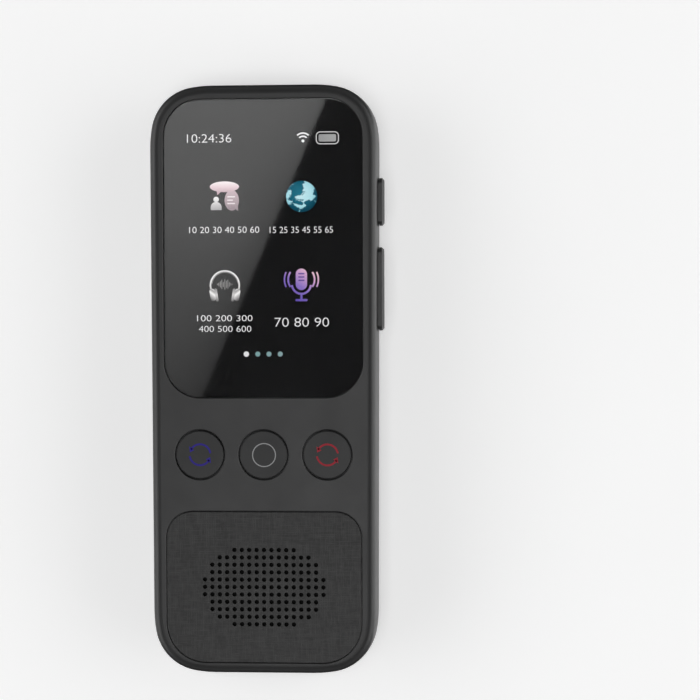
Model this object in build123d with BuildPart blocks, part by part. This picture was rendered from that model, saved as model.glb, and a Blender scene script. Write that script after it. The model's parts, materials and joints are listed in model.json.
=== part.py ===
"""Handheld voice translator: a flat bar with a glass window, three round keys,
a perforated speaker panel, two side keys and two sockets in its top end.

Frame: the bar lies on its back. The origin is the centre of the flat back,
+X is towards the side keys, +Y towards the top end, +Z out of the screen.
All sizes are in millimetres.
"""

from build123d import *
import math
import os

os.makedirs("parts", exist_ok=True)

# ---------------------------------------------------------------- dimensions
LENGTH = 141.0  # whole bar, Y
WIDTH = 55.0  # whole bar at its wider, top end, X, without the side keys
FLARE = 0.25  # each long side leans outwards by this angle towards the top end, degrees
THICK = 13.0  # whole bar, Z
CORNER_R = 11.8  # main radius of a corner in plan
LEAD_R = 30.0  # larger radius that leads into each corner
LEAD_A = 10.0  # angle turned by each lead-in, degrees
BACK_R = 6.0  # rounding of the back edge
# the walls curve inwards towards the front: (from this height, by this angle in degrees)
DRAFTS = [(7.2, 1.7), (8.4, 3.4), (9.6, 5.0)]
FRONT_R = 2.3  # rounding of the front edge
SLOPE_RUN = 12.0  # length of the gentle slope under the bottom end
SLOPE_RISE = 0.8

WALL = 1.6  # side wall
FACE_T = 1.5  # front face
BACK_T = 1.5  # back
SPLIT_Z = 4.6  # parting line between rear cover and front shell
LIP_H = 0.9  # lip of the rear cover inside the front shell
LIP_IN = 0.85  # the lip's outer face, in from the outline

WIN_W, WIN_H, WIN_R = 47.8, 71.26, 8.87  # window opening
WIN_Y = 31.24
LEDGE_Z = 12.0  # ledge that carries the glass
GLASS_GAP = 0.12
EDGE_C = 0.13  # bevel on the edges of the window, key holes and panel recess
GLASS_TOP = 12.93

BTN_X, BTN_Y = 15.25, -17.9  # front keys
BTN_HOLE_D, BTN_D = 12.1, 11.4
BTN_TOP = 12.95
BTN_TRAVEL = 0.3

PAN_W = 46.8  # speaker panel, to the middle of its gap
PAN_TOP, PAN_BOT = -31.46, -67.58
PAN_RT, PAN_RB = 6.3, 9.5
PAN_GAP = 0.2
GRILLE_Y = -49.5
HOLE_D, HOLE_PITCH = 1.06, 1.775
HOLE_ROWS = [9, 13, 15, 15, 17, 17, 17, 15, 15, 13, 9]

KEY_Z, KEY_H = 9.1, 2.8  # side keys
KEY_OUT = 1.38  # how far they stand out of the wall
KEY_IN = 0.3  # the side keys and their switches follow the wall's lean by this much
POWER_Y, POWER_L = 42.3, 11.4
VOL_Y, VOL_L = 21.55, 19.9

PORT_Z = 7.1  # middle of both sockets
JACK_X = 13.2
JACK_R = 1.8

PCB_BOT, PCB_TOP = 8.2, 9.2  # main board
BOSS_XY = [(20.5, -7.6), (-20.5, -7.6), (20.5, -28.0), (-20.5, -28.0)]
EAR_XY = [(20.2, GRILLE_Y), (-20.2, GRILLE_Y)]  # speaker screws
SCREW_R, SCREW_HEAD_R, SCREW_HEAD_H, SCREW_LEN = 0.8, 1.5, 0.7, 2.6
EAR_Z = 9.4  # speaker ear's front face

HL = LENGTH / 2
LEAN = math.tan(math.radians(FLARE))
HW_MID = WIDTH / 2 - 57.0 * LEAN  # half of the width in the middle of the length


def half_width(y):
    """Half of the bar's width at a place along its length."""
    return HW_MID + y * LEAN


HW = half_width(57.0)


# ------------------------------------------------------------------- helpers
def outline(inset):
    """Plan outline of the bar, set in by a distance."""
    r1, r2 = LEAD_R - inset, CORNER_R - inset

    def corner(heading, turn):
        """How far a corner carries on in X and Y, from the heading it starts with."""
        x = y = 0.0
        for r, a in ((r1, LEAD_A), (r2, turn - 2 * LEAD_A), (r1, LEAD_A)):
            h0, h1 = math.radians(heading), math.radians(heading + a)
            x += r * (math.sin(h1) - math.sin(h0))
            y += r * (math.cos(h0) - math.cos(h1))
            heading += a
        return x, y

    def side_x(y):
        return half_width(y) - inset / math.cos(math.radians(FLARE))

    top = corner(90 - FLARE, 90 + FLARE)
    low = corner(0, 90 - FLARE)
    y_top, y_low = HL - inset - top[1], -HL + inset + low[1]
    starts = [
        ((side_x(y_top), y_top), 90 - FLARE, 90 + FLARE),
        ((-(side_x(y_top) + top[0]), HL - inset), 180, 90 + FLARE),
        ((-side_x(y_low), y_low), 270 + FLARE, 90 - FLARE),
        ((side_x(y_low) - low[0], -HL + inset), 0, 90 - FLARE),
    ]
    with BuildSketch() as sk:
        with BuildLine():
            last, first = None, None
            for start, heading, turn in starts:
                h = math.radians(heading)
                if last is None:
                    first = Vector(*start)
                else:
                    Line(last, start)
                arc1 = JernArc(start, (math.cos(h), math.sin(h)), r1, LEAD_A)
                arc2 = JernArc(arc1 @ 1, arc1 % 1, r2, turn - 2 * LEAD_A)
                arc3 = JernArc(arc2 @ 1, arc2 % 1, r1, LEAD_A)
                last = arc3 @ 1
            Line(last, first)
        make_face()
    return sk.sketch


def bar(inset, z_back, z_front, back_r, front_r):
    """The bar's solid, set in from the outline, with its rounded back and front edges."""
    rise = SLOPE_RISE
    radius = (SLOPE_RUN**2 + rise**2) / (2 * rise)
    plan = outline(inset)
    with BuildPart() as b:
        with BuildSketch(Plane.XY.offset(z_back)):
            add(plan)
        extrude(amount=DRAFTS[0][0] - z_back)
        lean = 0.0
        for (z0, angle), z1 in zip(DRAFTS, [d[0] for d in DRAFTS[1:]] + [z_front]):
            with BuildSketch(Plane.XY.offset(z0)):
                add(outline(inset + lean))
            extrude(amount=z1 - z0, taper=angle)
            lean += (z1 - z0) * math.tan(math.radians(angle))
        # the gentle slope under the bottom end
        y0 = -HL + SLOPE_RUN
        with BuildSketch(Plane.YZ):
            with BuildLine():
                arc = JernArc((y0, z_back), (-1, 0), radius - (z_back), -20)
                Line(arc @ 1, ((arc @ 1).X, z_back - 2))
                Line(((arc @ 1).X, z_back - 2), (y0, z_back - 2))
                Line((y0, z_back - 2), (y0, z_back))
            make_face()
        extrude(amount=WIDTH, both=True, mode=Mode.SUBTRACT)
        backs = b.edges().filter_by(lambda e: e.center().Z < z_back + rise + 0.6)
        backs = backs.filter_by(lambda e: abs(e.center().Y - y0) > 0.2 or abs(e.center().X) > 5)
        fillet(backs, back_r)
        if front_r:
            fillet(b.edges().group_by(Axis.Z)[-1], front_r)
    return b.part


def panel_outline(grow, low=0):
    """Speaker panel outline: tighter corners at its top than at its bottom, and its bottom edge lower by low."""
    hw = PAN_W / 2 + grow
    t, bt = PAN_TOP + grow, PAN_BOT - grow - low
    rt, rb = PAN_RT + grow, PAN_RB + grow
    with BuildSketch() as sk:
        with BuildLine():
            Line((hw, bt + rb), (hw, t - rt))
            JernArc((hw, t - rt), (0, 1), rt, 90)
            Line((hw - rt, t), (-hw + rt, t))
            JernArc((-hw + rt, t), (-1, 0), rt, 90)
            Line((-hw, t - rt), (-hw, bt + rb))
            JernArc((-hw, bt + rb), (0, -1), rb, 90)
            Line((-hw + rb, bt), (hw - rb, bt))
            JernArc((hw - rb, bt), (1, 0), rb, 90)
        make_face()
    return sk.sketch


def stadium(length, height):
    """Flat section with fully rounded ends."""
    with BuildSketch() as sk:
        SlotOverall(length, height)
    return sk.sketch


blank = bar(0, 0, THICK, BACK_R, FRONT_R)
void = bar(WALL, BACK_T, THICK - FACE_T, BACK_R - WALL, 0)
lap = outline(LIP_IN - 0.05)
lip_out = outline(LIP_IN)
lip_in = outline(WALL)
panel_recess = panel_outline(PAN_GAP / 2)
panel_plan = panel_outline(-PAN_GAP / 2, 0.07)

# planes: a side wall seen from +X (local x = Y, local y = Z), and an end wall
SIDE = Plane(origin=(0, 0, 0), x_dir=(0, 1, 0), z_dir=(1, 0, 0))
END = Plane(origin=(0, 0, 0), x_dir=(-1, 0, 0), z_dir=(0, 1, 0))

# snap hooks of the rear cover: (centre along the wall, wall)
HOOKS_LEFT = [-42.0, -8.0, 22.0]
HOOKS_RIGHT = [-42.0, -8.0]
HOOK_W = 6.0

# lanyard anchor: two slots round one corner, a tunnel behind the bar between them
LAN_C = (-(HW - 12.077), HL - 12.077)
LAN_A = [180 - 21.6, 180 - 53.3]
LAN_Z0, LAN_Z1 = 2.0, 4.0

MIC_TOP_X, MIC_BOT_X = -12.0, 8.0

# ------------------------------------------------- lanyard anchor's block
def lan_point(r, d):
    """Point at a radius and an angle in degrees round the anchor's corner."""
    return (LAN_C[0] + r * math.cos(math.radians(d)), LAN_C[1] + r * math.sin(math.radians(d)))


def lan_sector(r0, r1, a0, a1):
    """Plan face of a piece of a ring round the anchor's corner."""
    with BuildSketch() as sk:
        with BuildLine():
            Line(lan_point(r0, a0), lan_point(r1, a0))
            ThreePointArc(lan_point(r1, a0), lan_point(r1, (a0 + a1) / 2), lan_point(r1, a1))
            Line(lan_point(r1, a1), lan_point(r0, a1))
            ThreePointArc(lan_point(r0, a1), lan_point(r0, (a0 + a1) / 2), lan_point(r0, a0))
        make_face()
    return sk.sketch


lan_plan = lan_sector(7.2, 10.9, 118.0, 167.0)
tunnel_plan = lan_sector(8.3, 9.9, LAN_A[1] - 5.5, LAN_A[0] + 5.5)
with BuildPart() as lanyard_block:
    with BuildSketch():
        add(lan_plan)
    extrude(amount=SPLIT_Z + 0.3)
    add(blank, mode=Mode.INTERSECT)

# ---------------------------------------------------------------- front shell
with BuildPart() as front_shell:
    add(blank)
    split(bisect_by=Plane.XY.offset(SPLIT_Z), keep=Keep.TOP)
    add(void, mode=Mode.SUBTRACT)
    # lap joint that takes the rear cover's lip
    with BuildSketch(Plane.XY.offset(SPLIT_Z - 0.5)):
        add(lap)
    extrude(amount=0.5 + LIP_H + 0.1, mode=Mode.SUBTRACT)
    # window opening, and the narrower opening that leaves the glass its ledge
    with BuildSketch(Plane.XY.offset(LEDGE_Z)):
        with Locations((0, WIN_Y)):
            RectangleRounded(WIN_W, WIN_H, WIN_R)
    extrude(amount=2, mode=Mode.SUBTRACT)
    with BuildSketch(Plane.XY.offset(THICK - FACE_T - 1)):
        with Locations((0, WIN_Y)):
            RectangleRounded(WIN_W - 2.4, WIN_H - 2.4, WIN_R - 1.2)
    extrude(amount=3, mode=Mode.SUBTRACT)
    # three round key holes
    with BuildSketch(Plane.XY.offset(THICK - FACE_T - 1)):
        with Locations((-BTN_X, BTN_Y), (0, BTN_Y), (BTN_X, BTN_Y)):
            Circle(BTN_HOLE_D / 2)
    extrude(amount=3, mode=Mode.SUBTRACT)
    # speaker panel recess, sound opening and holes for the panel's posts
    with BuildSketch(Plane.XY.offset(LEDGE_Z)):
        add(panel_recess)
    extrude(amount=2, mode=Mode.SUBTRACT)
    with BuildSketch(Plane.XY.offset(THICK - FACE_T - 1)):
        with Locations((0, GRILLE_Y)):
            RectangleRounded(31.5, 21.0, 8)
        with Locations((19.5, -36), (-19.5, -36), (17.5, -63.5), (-17.5, -63.5)):
            Circle(0.7)
    extrude(amount=3, mode=Mode.SUBTRACT)
    # bevelled edges of the window, key holes and panel recess
    with BuildSketch(Plane.XY.offset(THICK - EDGE_C)):
        with Locations((0, WIN_Y)):
            RectangleRounded(WIN_W, WIN_H, WIN_R)
        with Locations((-BTN_X, BTN_Y), (0, BTN_Y), (BTN_X, BTN_Y)):
            Circle(BTN_HOLE_D / 2)
        add(panel_recess)
    extrude(amount=EDGE_C + 0.05, taper=-45, mode=Mode.SUBTRACT)
    # bosses for the board and speaker screws
    with BuildSketch(Plane.XY.offset(PCB_TOP)):
        with Locations(*BOSS_XY[2:]):
            Circle(2.1)
    extrude(amount=THICK - FACE_T - PCB_TOP + 0.1)
    with BuildSketch(Plane.XY.offset(9.55)):
        with Locations(*BOSS_XY[:2]):
            Circle(2.1)
    extrude(amount=THICK - FACE_T - 9.55 + 0.1)
    with BuildSketch(Plane.XY.offset(EAR_Z)):
        with Locations(*EAR_XY):
            Circle(2.0)
    extrude(amount=THICK - FACE_T - EAR_Z + 0.1)
    # ring wall round the speaker
    with BuildSketch(Plane.XY.offset(9.9)):
        with Locations((0, GRILLE_Y)):
            RectangleRounded(36.2, 26.2, 8.8)
            RectangleRounded(34.4, 24.4, 7.9, mode=Mode.SUBTRACT)
    extrude(amount=THICK - FACE_T - 9.9 + 0.1)
    # ribs: one across between keys and speaker panel, one under each side key end
    with BuildSketch(Plane.XY.offset(9.9)):
        with Locations((0, -28.0)):
            Rectangle(36, 0.8)
        with Locations((24.75, 7.2), (24.75, 50.8)):
            Rectangle(2.5, 0.8)
    extrude(amount=THICK - FACE_T - 9.9 + 0.1)
    with BuildSketch(Plane.XY.offset(PCB_TOP)):
        with Locations(*BOSS_XY, *EAR_XY):
            Circle(SCREW_R + 0.02)
    extrude(amount=11.52 - PCB_TOP, mode=Mode.SUBTRACT)
    # side key slots
    with BuildSketch(Plane(origin=(HW - WALL - 0.6, 0, 0), x_dir=(0, 1, 0), z_dir=(1, 0, 0))):
        with Locations((POWER_Y, KEY_Z)):
            SlotOverall(POWER_L + 0.3, KEY_H + 0.3)
        with Locations((VOL_Y, KEY_Z)):
            SlotOverall(VOL_L + 0.3, KEY_H + 0.3)
    extrude(amount=4, mode=Mode.SUBTRACT)
    # charging socket mouth with its shallow flare, earphone hole, microphone hole
    with BuildSketch(Plane(origin=(0, HL - WALL - 0.6, 0), x_dir=(-1, 0, 0), z_dir=(0, 1, 0))):
        with Locations((0, PORT_Z)):
            SlotOverall(9.3, 3.5)
        with Locations((-JACK_X, PORT_Z)):
            Circle(1.95)
        with Locations((-MIC_TOP_X, PORT_Z)):
            Circle(0.5)
    extrude(amount=4, mode=Mode.SUBTRACT)
    with BuildSketch(Plane(origin=(0, HL - 0.45, 0), x_dir=(-1, 0, 0), z_dir=(0, 1, 0))):
        with Locations((0, PORT_Z)):
            SlotOverall(9.9, 4.1)
        with Locations((-JACK_X, PORT_Z)):
            Circle(2.2)
    extrude(amount=2, taper=-20, mode=Mode.SUBTRACT)
    with BuildSketch(Plane(origin=(0, -HL + WALL + 0.6, 0), x_dir=(1, 0, 0), z_dir=(0, -1, 0))):
        with Locations((MIC_BOT_X, PORT_Z)):
            Circle(0.5)
    extrude(amount=4, mode=Mode.SUBTRACT)
    # pockets for the snap hooks' noses
    with BuildSketch(Plane.XY.offset(6.9)):
        with Locations(*[(-(half_width(y) - WALL), y) for y in HOOKS_LEFT], *[(half_width(y) - WALL, y) for y in HOOKS_RIGHT]):
            Rectangle(1.1, HOOK_W + 0.6)
    extrude(amount=1.5, mode=Mode.SUBTRACT)
front_shell.part.label = "front_shell"

# ----------------------------------------------------------------- rear cover
with BuildPart() as rear_cover:
    add(blank)
    split(bisect_by=Plane.XY.offset(SPLIT_Z - 0.06), keep=Keep.BOTTOM)
    add(void, mode=Mode.SUBTRACT)
    with BuildSketch(Plane.XY.offset(SPLIT_Z - 0.3)):
        add(lip_out)
        add(lip_in, mode=Mode.SUBTRACT)
    extrude(amount=0.3 + LIP_H)
    # snap hooks
    for wall, places in ((-1, HOOKS_LEFT), (1, HOOKS_RIGHT)):
        for y in places:
            with BuildSketch(Plane(origin=(0, y, 0), x_dir=(1, 0, 0), z_dir=(0, -1, 0))):
                with BuildLine():
                    x0 = half_width(y) - WALL - 0.05
                    Polyline(
                        (wall * (x0 - 0.85), 3.4),
                        (wall * (x0 + 0.2), 3.4),
                        (wall * (x0 + 0.2), SPLIT_Z + LIP_H),
                        (wall * x0, SPLIT_Z + LIP_H),
                        (wall * x0, 7.1),
                        (wall * (x0 + 0.35), 7.1),
                        (wall * (x0 + 0.35), 7.3),
                        (wall * x0, 8.1),
                        (wall * (x0 - 0.85), 8.1),
                        close=True,
                    )
                make_face()
            extrude(amount=HOOK_W / 2, both=True)
    # tray walls round the battery
    with BuildSketch(Plane.XY.offset(BACK_T - 0.2)):
        with Locations((0, 8)):
            Rectangle(39.2, 66.2)
            Rectangle(37.6, 64.6, mode=Mode.SUBTRACT)
            Rectangle(20, 70, mode=Mode.SUBTRACT)
            Rectangle(50, 30, mode=Mode.SUBTRACT)
    extrude(amount=1.7)
    # stiffening ribs behind the speaker
    with BuildSketch(Plane.XY.offset(BACK_T - 0.2)):
        with Locations((-14, GRILLE_Y), (14, GRILLE_Y)):
            Rectangle(1.0, 20)
        with Locations((0, GRILLE_Y - 12.5), (0, GRILLE_Y + 12.5)):
            Rectangle(29, 1.0)
    extrude(amount=1.3)
    # lanyard anchor: a block in the corner, with a tunnel and two slots through it
    add(lanyard_block.part)
    with BuildSketch(Plane.XY.offset(LAN_Z0)):
        add(tunnel_plan)
    extrude(amount=LAN_Z1 - LAN_Z0, mode=Mode.SUBTRACT)
    # the two slots
    for ang in LAN_A:
        d = math.radians(ang)
        out = (math.cos(d), math.sin(d), 0)
        along = (-math.sin(d), math.cos(d), 0)
        with BuildSketch(Plane(origin=(LAN_C[0] + 8.6 * out[0], LAN_C[1] + 8.6 * out[1], (LAN_Z0 + LAN_Z1) / 2), x_dir=along, z_dir=out)):
            SlotOverall(3.3, LAN_Z1 - LAN_Z0)
        extrude(amount=6, mode=Mode.SUBTRACT)
    # the sockets' mouths cut the lip where they cross it
    with BuildSketch(Plane(origin=(0, HL - WALL - 0.6, 0), x_dir=(-1, 0, 0), z_dir=(0, 1, 0))):
        with Locations((0, PORT_Z)):
            SlotOverall(9.7, 3.9)
        with Locations((-JACK_X, PORT_Z)):
            Circle(2.2)
    extrude(amount=1.6, mode=Mode.SUBTRACT)
rear_cover.part.label = "rear_cover"

# -------------------------------------------------------- window and display
GW, GH, GR = WIN_W - 2 * GLASS_GAP, WIN_H - 2 * GLASS_GAP, WIN_R - GLASS_GAP
with BuildPart() as cover_glass:
    with BuildSketch(Plane.XY.offset(12.15)):
        with Locations((0, WIN_Y)):
            RectangleRounded(GW, GH, GR)
    extrude(amount=GLASS_TOP - 12.15)
    chamfer(cover_glass.edges().group_by(Axis.Z)[-1], 0.14)
cover_glass.part.label = "cover_glass"

DISP_Y = 31.7  # middle of the lit area
with BuildPart() as glass_mask:
    with BuildSketch(Plane.XY.offset(12.09)):
        with Locations((0, WIN_Y)):
            RectangleRounded(GW - 0.3, GH - 0.3, GR - 0.15)
        with Locations((0, DISP_Y)):
            Rectangle(43.4, 57.8, mode=Mode.SUBTRACT)
    extrude(amount=0.05)
glass_mask.part.label = "glass_mask"

with BuildPart() as glass_adhesive:
    with BuildSketch(Plane.XY.offset(LEDGE_Z)):
        with Locations((0, WIN_Y)):
            RectangleRounded(GW - 0.3, GH - 0.3, GR - 0.15)
            RectangleRounded(WIN_W - 2.2, WIN_H - 2.2, WIN_R - 1.1, mode=Mode.SUBTRACT)
    extrude(amount=0.09)
glass_adhesive.part.label = "glass_adhesive"

with BuildPart() as touch_sensor:
    with BuildSketch(Plane.XY.offset(11.5)):
        with Locations((0, WIN_Y)):
            RectangleRounded(WIN_W - 2.7, WIN_H - 2.7, WIN_R - 1.35)
    extrude(amount=0.59)
touch_sensor.part.label = "touch_sensor"

with BuildPart() as display_cell:
    with BuildSketch(Plane.XY.offset(10.45)):
        with Locations((0, 30.1)):
            Rectangle(44.6, 63.0)
    extrude(amount=1.0)
    # the driver chip's ledge, where the front glass is shorter than the rear one
    with BuildSketch(Plane.XY.offset(10.95)):
        with Locations((0, -0.2)):
            Rectangle(46, 2.4)
    extrude(amount=1, mode=Mode.SUBTRACT)
display_cell.part.label = "display_cell"

with BuildPart() as backlight_frame:
    with BuildSketch(Plane.XY.offset(9.6)):
        with Locations((0, 30.1)):
            RectangleRounded(44.8, 63.2, 0.6)
    extrude(amount=0.85)
    with BuildSketch(Plane.XY.offset(9.8)):
        with Locations((0, 30.9)):
            Rectangle(43.4, 60.0)
    extrude(amount=2, mode=Mode.SUBTRACT)
backlight_frame.part.label = "backlight_frame"

with BuildPart() as light_guide:
    with BuildSketch(Plane.XY.offset(9.8)):
        with Locations((0, 30.9)):
            Rectangle(43.2, 59.8)
    extrude(amount=0.6)
light_guide.part.label = "light_guide"

with BuildPart() as display_bracket:
    with BuildSketch(Plane.XY.offset(9.25)):
        with Locations((0, 29.9)):
            Rectangle(45.7, 63.4)
        with Locations((17.0, -5.0), (-17.0, -5.0)):
            Rectangle(10.4, 9.6)
        with Locations((0, 14), (0, 46)):
            RectangleRounded(30, 22, 2, mode=Mode.SUBTRACT)
    extrude(amount=0.3)
    with BuildSketch(Plane.XY.offset(9.25)):
        with Locations((22.7, 29.9), (-22.7, 29.9)):
            Rectangle(0.3, 56)
    extrude(amount=2.15)
    with BuildSketch(Plane.XY.offset(9)):
        with Locations(*BOSS_XY[:2]):
            Circle(1.0)
    extrude(amount=1, mode=Mode.SUBTRACT)
display_bracket.part.label = "display_bracket"

with BuildPart() as insulating_sheet:
    with BuildSketch(Plane.XY.offset(PCB_TOP)):
        with Locations((0, 29.5)):
            Rectangle(44, 60)
    extrude(amount=0.05)
insulating_sheet.part.label = "insulating_sheet"

# the flat cable from the display's ledge down to the board
with BuildPart() as display_flex:
    with BuildSketch(Plane.YZ):
        with BuildLine():
            FilletPolyline((0.6, 11.03), (-3.6, 11.03), (-3.6, 9.62), (-7.4, 9.62), radius=0.6)
        trace(line_width=0.14)
    extrude(amount=9, both=True)
display_flex.part.label = "display_flex"

with BuildPart() as display_connector:
    with BuildSketch(Plane.XY.offset(PCB_TOP)):
        with Locations((0, -8.3)):
            Rectangle(20, 2.6)
    extrude(amount=1.0)
    with BuildSketch(Plane.XY.offset(9.5)):
        with Locations((0, -7.6)):
            Rectangle(18.3, 1.3)
    extrude(amount=0.25, mode=Mode.SUBTRACT)
display_connector.part.label = "display_connector"

# ------------------------------------------------------------- speaker panel
pts = []
for j, n in enumerate(HOLE_ROWS):
    for i in range(n):
        pts.append(((i - (n - 1) / 2) * HOLE_PITCH, GRILLE_Y + (5 - j) * HOLE_PITCH))
with BuildPart() as speaker_panel:
    with BuildSketch(Plane.XY.offset(LEDGE_Z)):
        add(panel_plan)
    extrude(amount=THICK - LEDGE_Z - 0.03)
    fillet(speaker_panel.edges().group_by(Axis.Z)[-1], 0.18)
    with BuildSketch(Plane.XY.offset(LEDGE_Z - 0.75)):
        with Locations((19.5, -36), (-19.5, -36), (17.5, -63.5), (-17.5, -63.5)):
            Circle(0.6)
    extrude(amount=0.75)
    with BuildSketch(Plane.XY.offset(LEDGE_Z - 1)):
        with Locations(*pts):
            Circle(HOLE_D / 2)
    extrude(amount=3, mode=Mode.SUBTRACT)
speaker_panel.part.label = "speaker_panel"

with BuildPart() as speaker_mesh:
    with BuildSketch(Plane.XY.offset(11.85)):
        with Locations((0, GRILLE_Y)):
            RectangleRounded(31.1, 20.6, 7.8)
    extrude(amount=0.15)
speaker_mesh.part.label = "speaker_mesh"

with BuildPart() as speaker_gasket:
    with BuildSketch(Plane.XY.offset(10.9)):
        with Locations((0, GRILLE_Y)):
            RectangleRounded(34.0, 24.0, 7.7)
            RectangleRounded(30.5, 20.0, 6, mode=Mode.SUBTRACT)
    extrude(amount=0.6)
speaker_gasket.part.label = "speaker_gasket"

with BuildPart() as speaker_basket:
    with BuildSketch(Plane.XY.offset(7.4)):
        with Locations((0, GRILLE_Y)):
            RectangleRounded(33.8, 23.8, 7.6)
    extrude(amount=3.5)
    with BuildSketch(Plane.XY.offset(8.2)):
        with Locations((0, GRILLE_Y)):
            RectangleRounded(29.2, 19.2, 5.4)
    extrude(amount=4, mode=Mode.SUBTRACT)
    with BuildSketch(Plane.XY.offset(8.9)):
        with Locations(*EAR_XY):
            Circle(2.0)
        with Locations((18.2, GRILLE_Y), (-18.2, GRILLE_Y)):
            Rectangle(4, 4)
    extrude(amount=0.5)
    with BuildSketch(Plane.XY.offset(7)):
        with Locations((0, GRILLE_Y)):
            Circle(8.0)
        with Locations(*EAR_XY):
            Circle(1.0)
    extrude(amount=3, mode=Mode.SUBTRACT)
    # the vents in the basket's floor
    with BuildSketch(Plane.XY.offset(7)):
        with Locations((11.6, GRILLE_Y), (-11.6, GRILLE_Y)):
            RectangleRounded(3.4, 10, 1)
    extrude(amount=2, mode=Mode.SUBTRACT)
speaker_basket.part.label = "speaker_basket"

with BuildPart() as speaker_yoke:
    with BuildSketch(Plane.XY.offset(5.3)):
        with Locations((0, GRILLE_Y)):
            Circle(8.0)
    extrude(amount=3.3)
    with BuildSketch(Plane.XY.offset(6.1)):
        with Locations((0, GRILLE_Y)):
            Circle(7.1)
    extrude(amount=4, mode=Mode.SUBTRACT)
speaker_yoke.part.label = "speaker_yoke"

with BuildPart() as speaker_magnet:
    with BuildSketch(Plane.XY.offset(6.1)):
        with Locations((0, GRILLE_Y)):
            Circle(5.5)
    extrude(amount=1.9)
speaker_magnet.part.label = "speaker_magnet"

with BuildPart() as pole_plate:
    with BuildSketch(Plane.XY.offset(8.0)):
        with Locations((0, GRILLE_Y)):
            Circle(5.6)
    extrude(amount=0.6)
pole_plate.part.label = "pole_plate"

with BuildPart() as voice_coil:
    with BuildSketch(Plane.XY.offset(7.3)):
        with Locations((0, GRILLE_Y)):
            Circle(6.4)
            Circle(6.0, mode=Mode.SUBTRACT)
    extrude(amount=2.5)
voice_coil.part.label = "voice_coil"

with BuildPart() as speaker_cone:
    with BuildSketch(Plane.XY.offset(9.8)):
        with Locations((0, GRILLE_Y)):
            RectangleRounded(26.4, 16.4, 5)
    extrude(amount=0.25)
    # the dome over the coil
    with BuildSketch(Plane(origin=(0, GRILLE_Y, 0), x_dir=(1, 0, 0), z_dir=(0, -1, 0))):
        with BuildLine():
            Line((0, 9.9), (0, 10.8))
            ThreePointArc((0, 10.8), (3.3, 10.57), (6.2, 9.95))
            Line((6.2, 9.95), (6.2, 9.9))
            Line((6.2, 9.9), (0, 9.9))
        make_face()
    revolve(axis=Axis((0, GRILLE_Y, 0), (0, 0, 1)), revolution_arc=360)
speaker_cone.part.label = "speaker_cone"

with BuildPart() as cone_surround:
    with BuildSketch(Plane.XY.offset(10.05)):
        with Locations((0, GRILLE_Y)):
            RectangleRounded(28.8, 18.8, 5.2)
            RectangleRounded(25.4, 15.4, 4.6, mode=Mode.SUBTRACT)
    extrude(amount=0.45)
    fillet(cone_surround.edges().group_by(Axis.Z)[-1], 0.4)
cone_surround.part.label = "cone_surround"

with BuildPart() as speaker_leads:
    for x in (-5.0, -3.0):
        with BuildSketch(Plane(origin=(x, GRILLE_Y + 11.9, 7.9), x_dir=(1, 0, 0), z_dir=(0, 1, 0))):
            Circle(0.4)
        extrude(amount=-31.4 - (GRILLE_Y + 11.9))
speaker_leads.part.label = "speaker_leads"

# ------------------------------------------------------------------ main board
with BuildPart() as main_board:
    with BuildSketch(Plane.XY.offset(PCB_BOT)):
        with Locations((0, 17.7)):
            RectangleRounded(48.8, 98.2, 3.0)
        # the board's top corners clear the housing's corners
        with Locations((24.4, 66.8), (-24.4, 66.8)):
            Rectangle(9, 9, rotation=45, mode=Mode.SUBTRACT)
        with Locations((24.4, 29.0)):
            Rectangle(3.2, 45.2, mode=Mode.SUBTRACT)
        with Locations((0, 66.8)):
            Rectangle(9.4, 9.8, mode=Mode.SUBTRACT)
        with Locations((JACK_X, 66.8)):
            Rectangle(6.8, 25.0, mode=Mode.SUBTRACT)
        with Locations(*BOSS_XY):
            Circle(1.0, mode=Mode.SUBTRACT)
    extrude(amount=PCB_TOP - PCB_BOT)
main_board.part.label = "main_board"

with BuildPart() as shield_can:
    with BuildSketch(Plane.XY.offset(6.7)):
        with Locations((7, 28)):
            RectangleRounded(26, 20, 0.8)
    extrude(amount=PCB_BOT - 6.7)
    with BuildSketch(Plane.XY.offset(6.9)):
        with Locations((7, 28)):
            RectangleRounded(25.6, 19.6, 0.6)
    extrude(amount=3, mode=Mode.SUBTRACT)
shield_can.part.label = "shield_can"

with BuildPart() as processor_chip:
    with BuildSketch(Plane.XY.offset(7.2)):
        with Locations((1.5, 28)):
            Rectangle(11, 11)
    extrude(amount=PCB_BOT - 7.2)
processor_chip.part.label = "processor_chip"

with BuildPart() as memory_chip:
    with BuildSketch(Plane.XY.offset(7.3)):
        with Locations((14, 28)):
            Rectangle(8, 11.5)
    extrude(amount=PCB_BOT - 7.3)
memory_chip.part.label = "memory_chip"

with BuildPart() as wireless_module:
    with BuildSketch(Plane.XY.offset(7.6)):
        with Locations((-15.5, 28)):
            Rectangle(12.5, 14)
    extrude(amount=PCB_BOT - 7.6)
    with BuildSketch(Plane.XY.offset(6.5)):
        with Locations((-15.2, 28)):
            RectangleRounded(10.4, 12.6, 0.5)
    extrude(amount=1.1)
wireless_module.part.label = "wireless_module"

# ------------------------------------------------------------------- sockets
with BuildPart() as charging_socket:
    with BuildSketch(Plane(origin=(0, 61.95, 0), x_dir=(-1, 0, 0), z_dir=(0, 1, 0))):
        with Locations((0, PORT_Z)):
            SlotOverall(8.94, 3.16)
    extrude(amount=7.35)
    with BuildSketch(Plane(origin=(0, 62.3, 0), x_dir=(-1, 0, 0), z_dir=(0, 1, 0))):
        with Locations((0, PORT_Z)):
            SlotOverall(8.34, 2.56)
    extrude(amount=8, mode=Mode.SUBTRACT)
charging_socket.part.label = "charging_socket"

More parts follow.
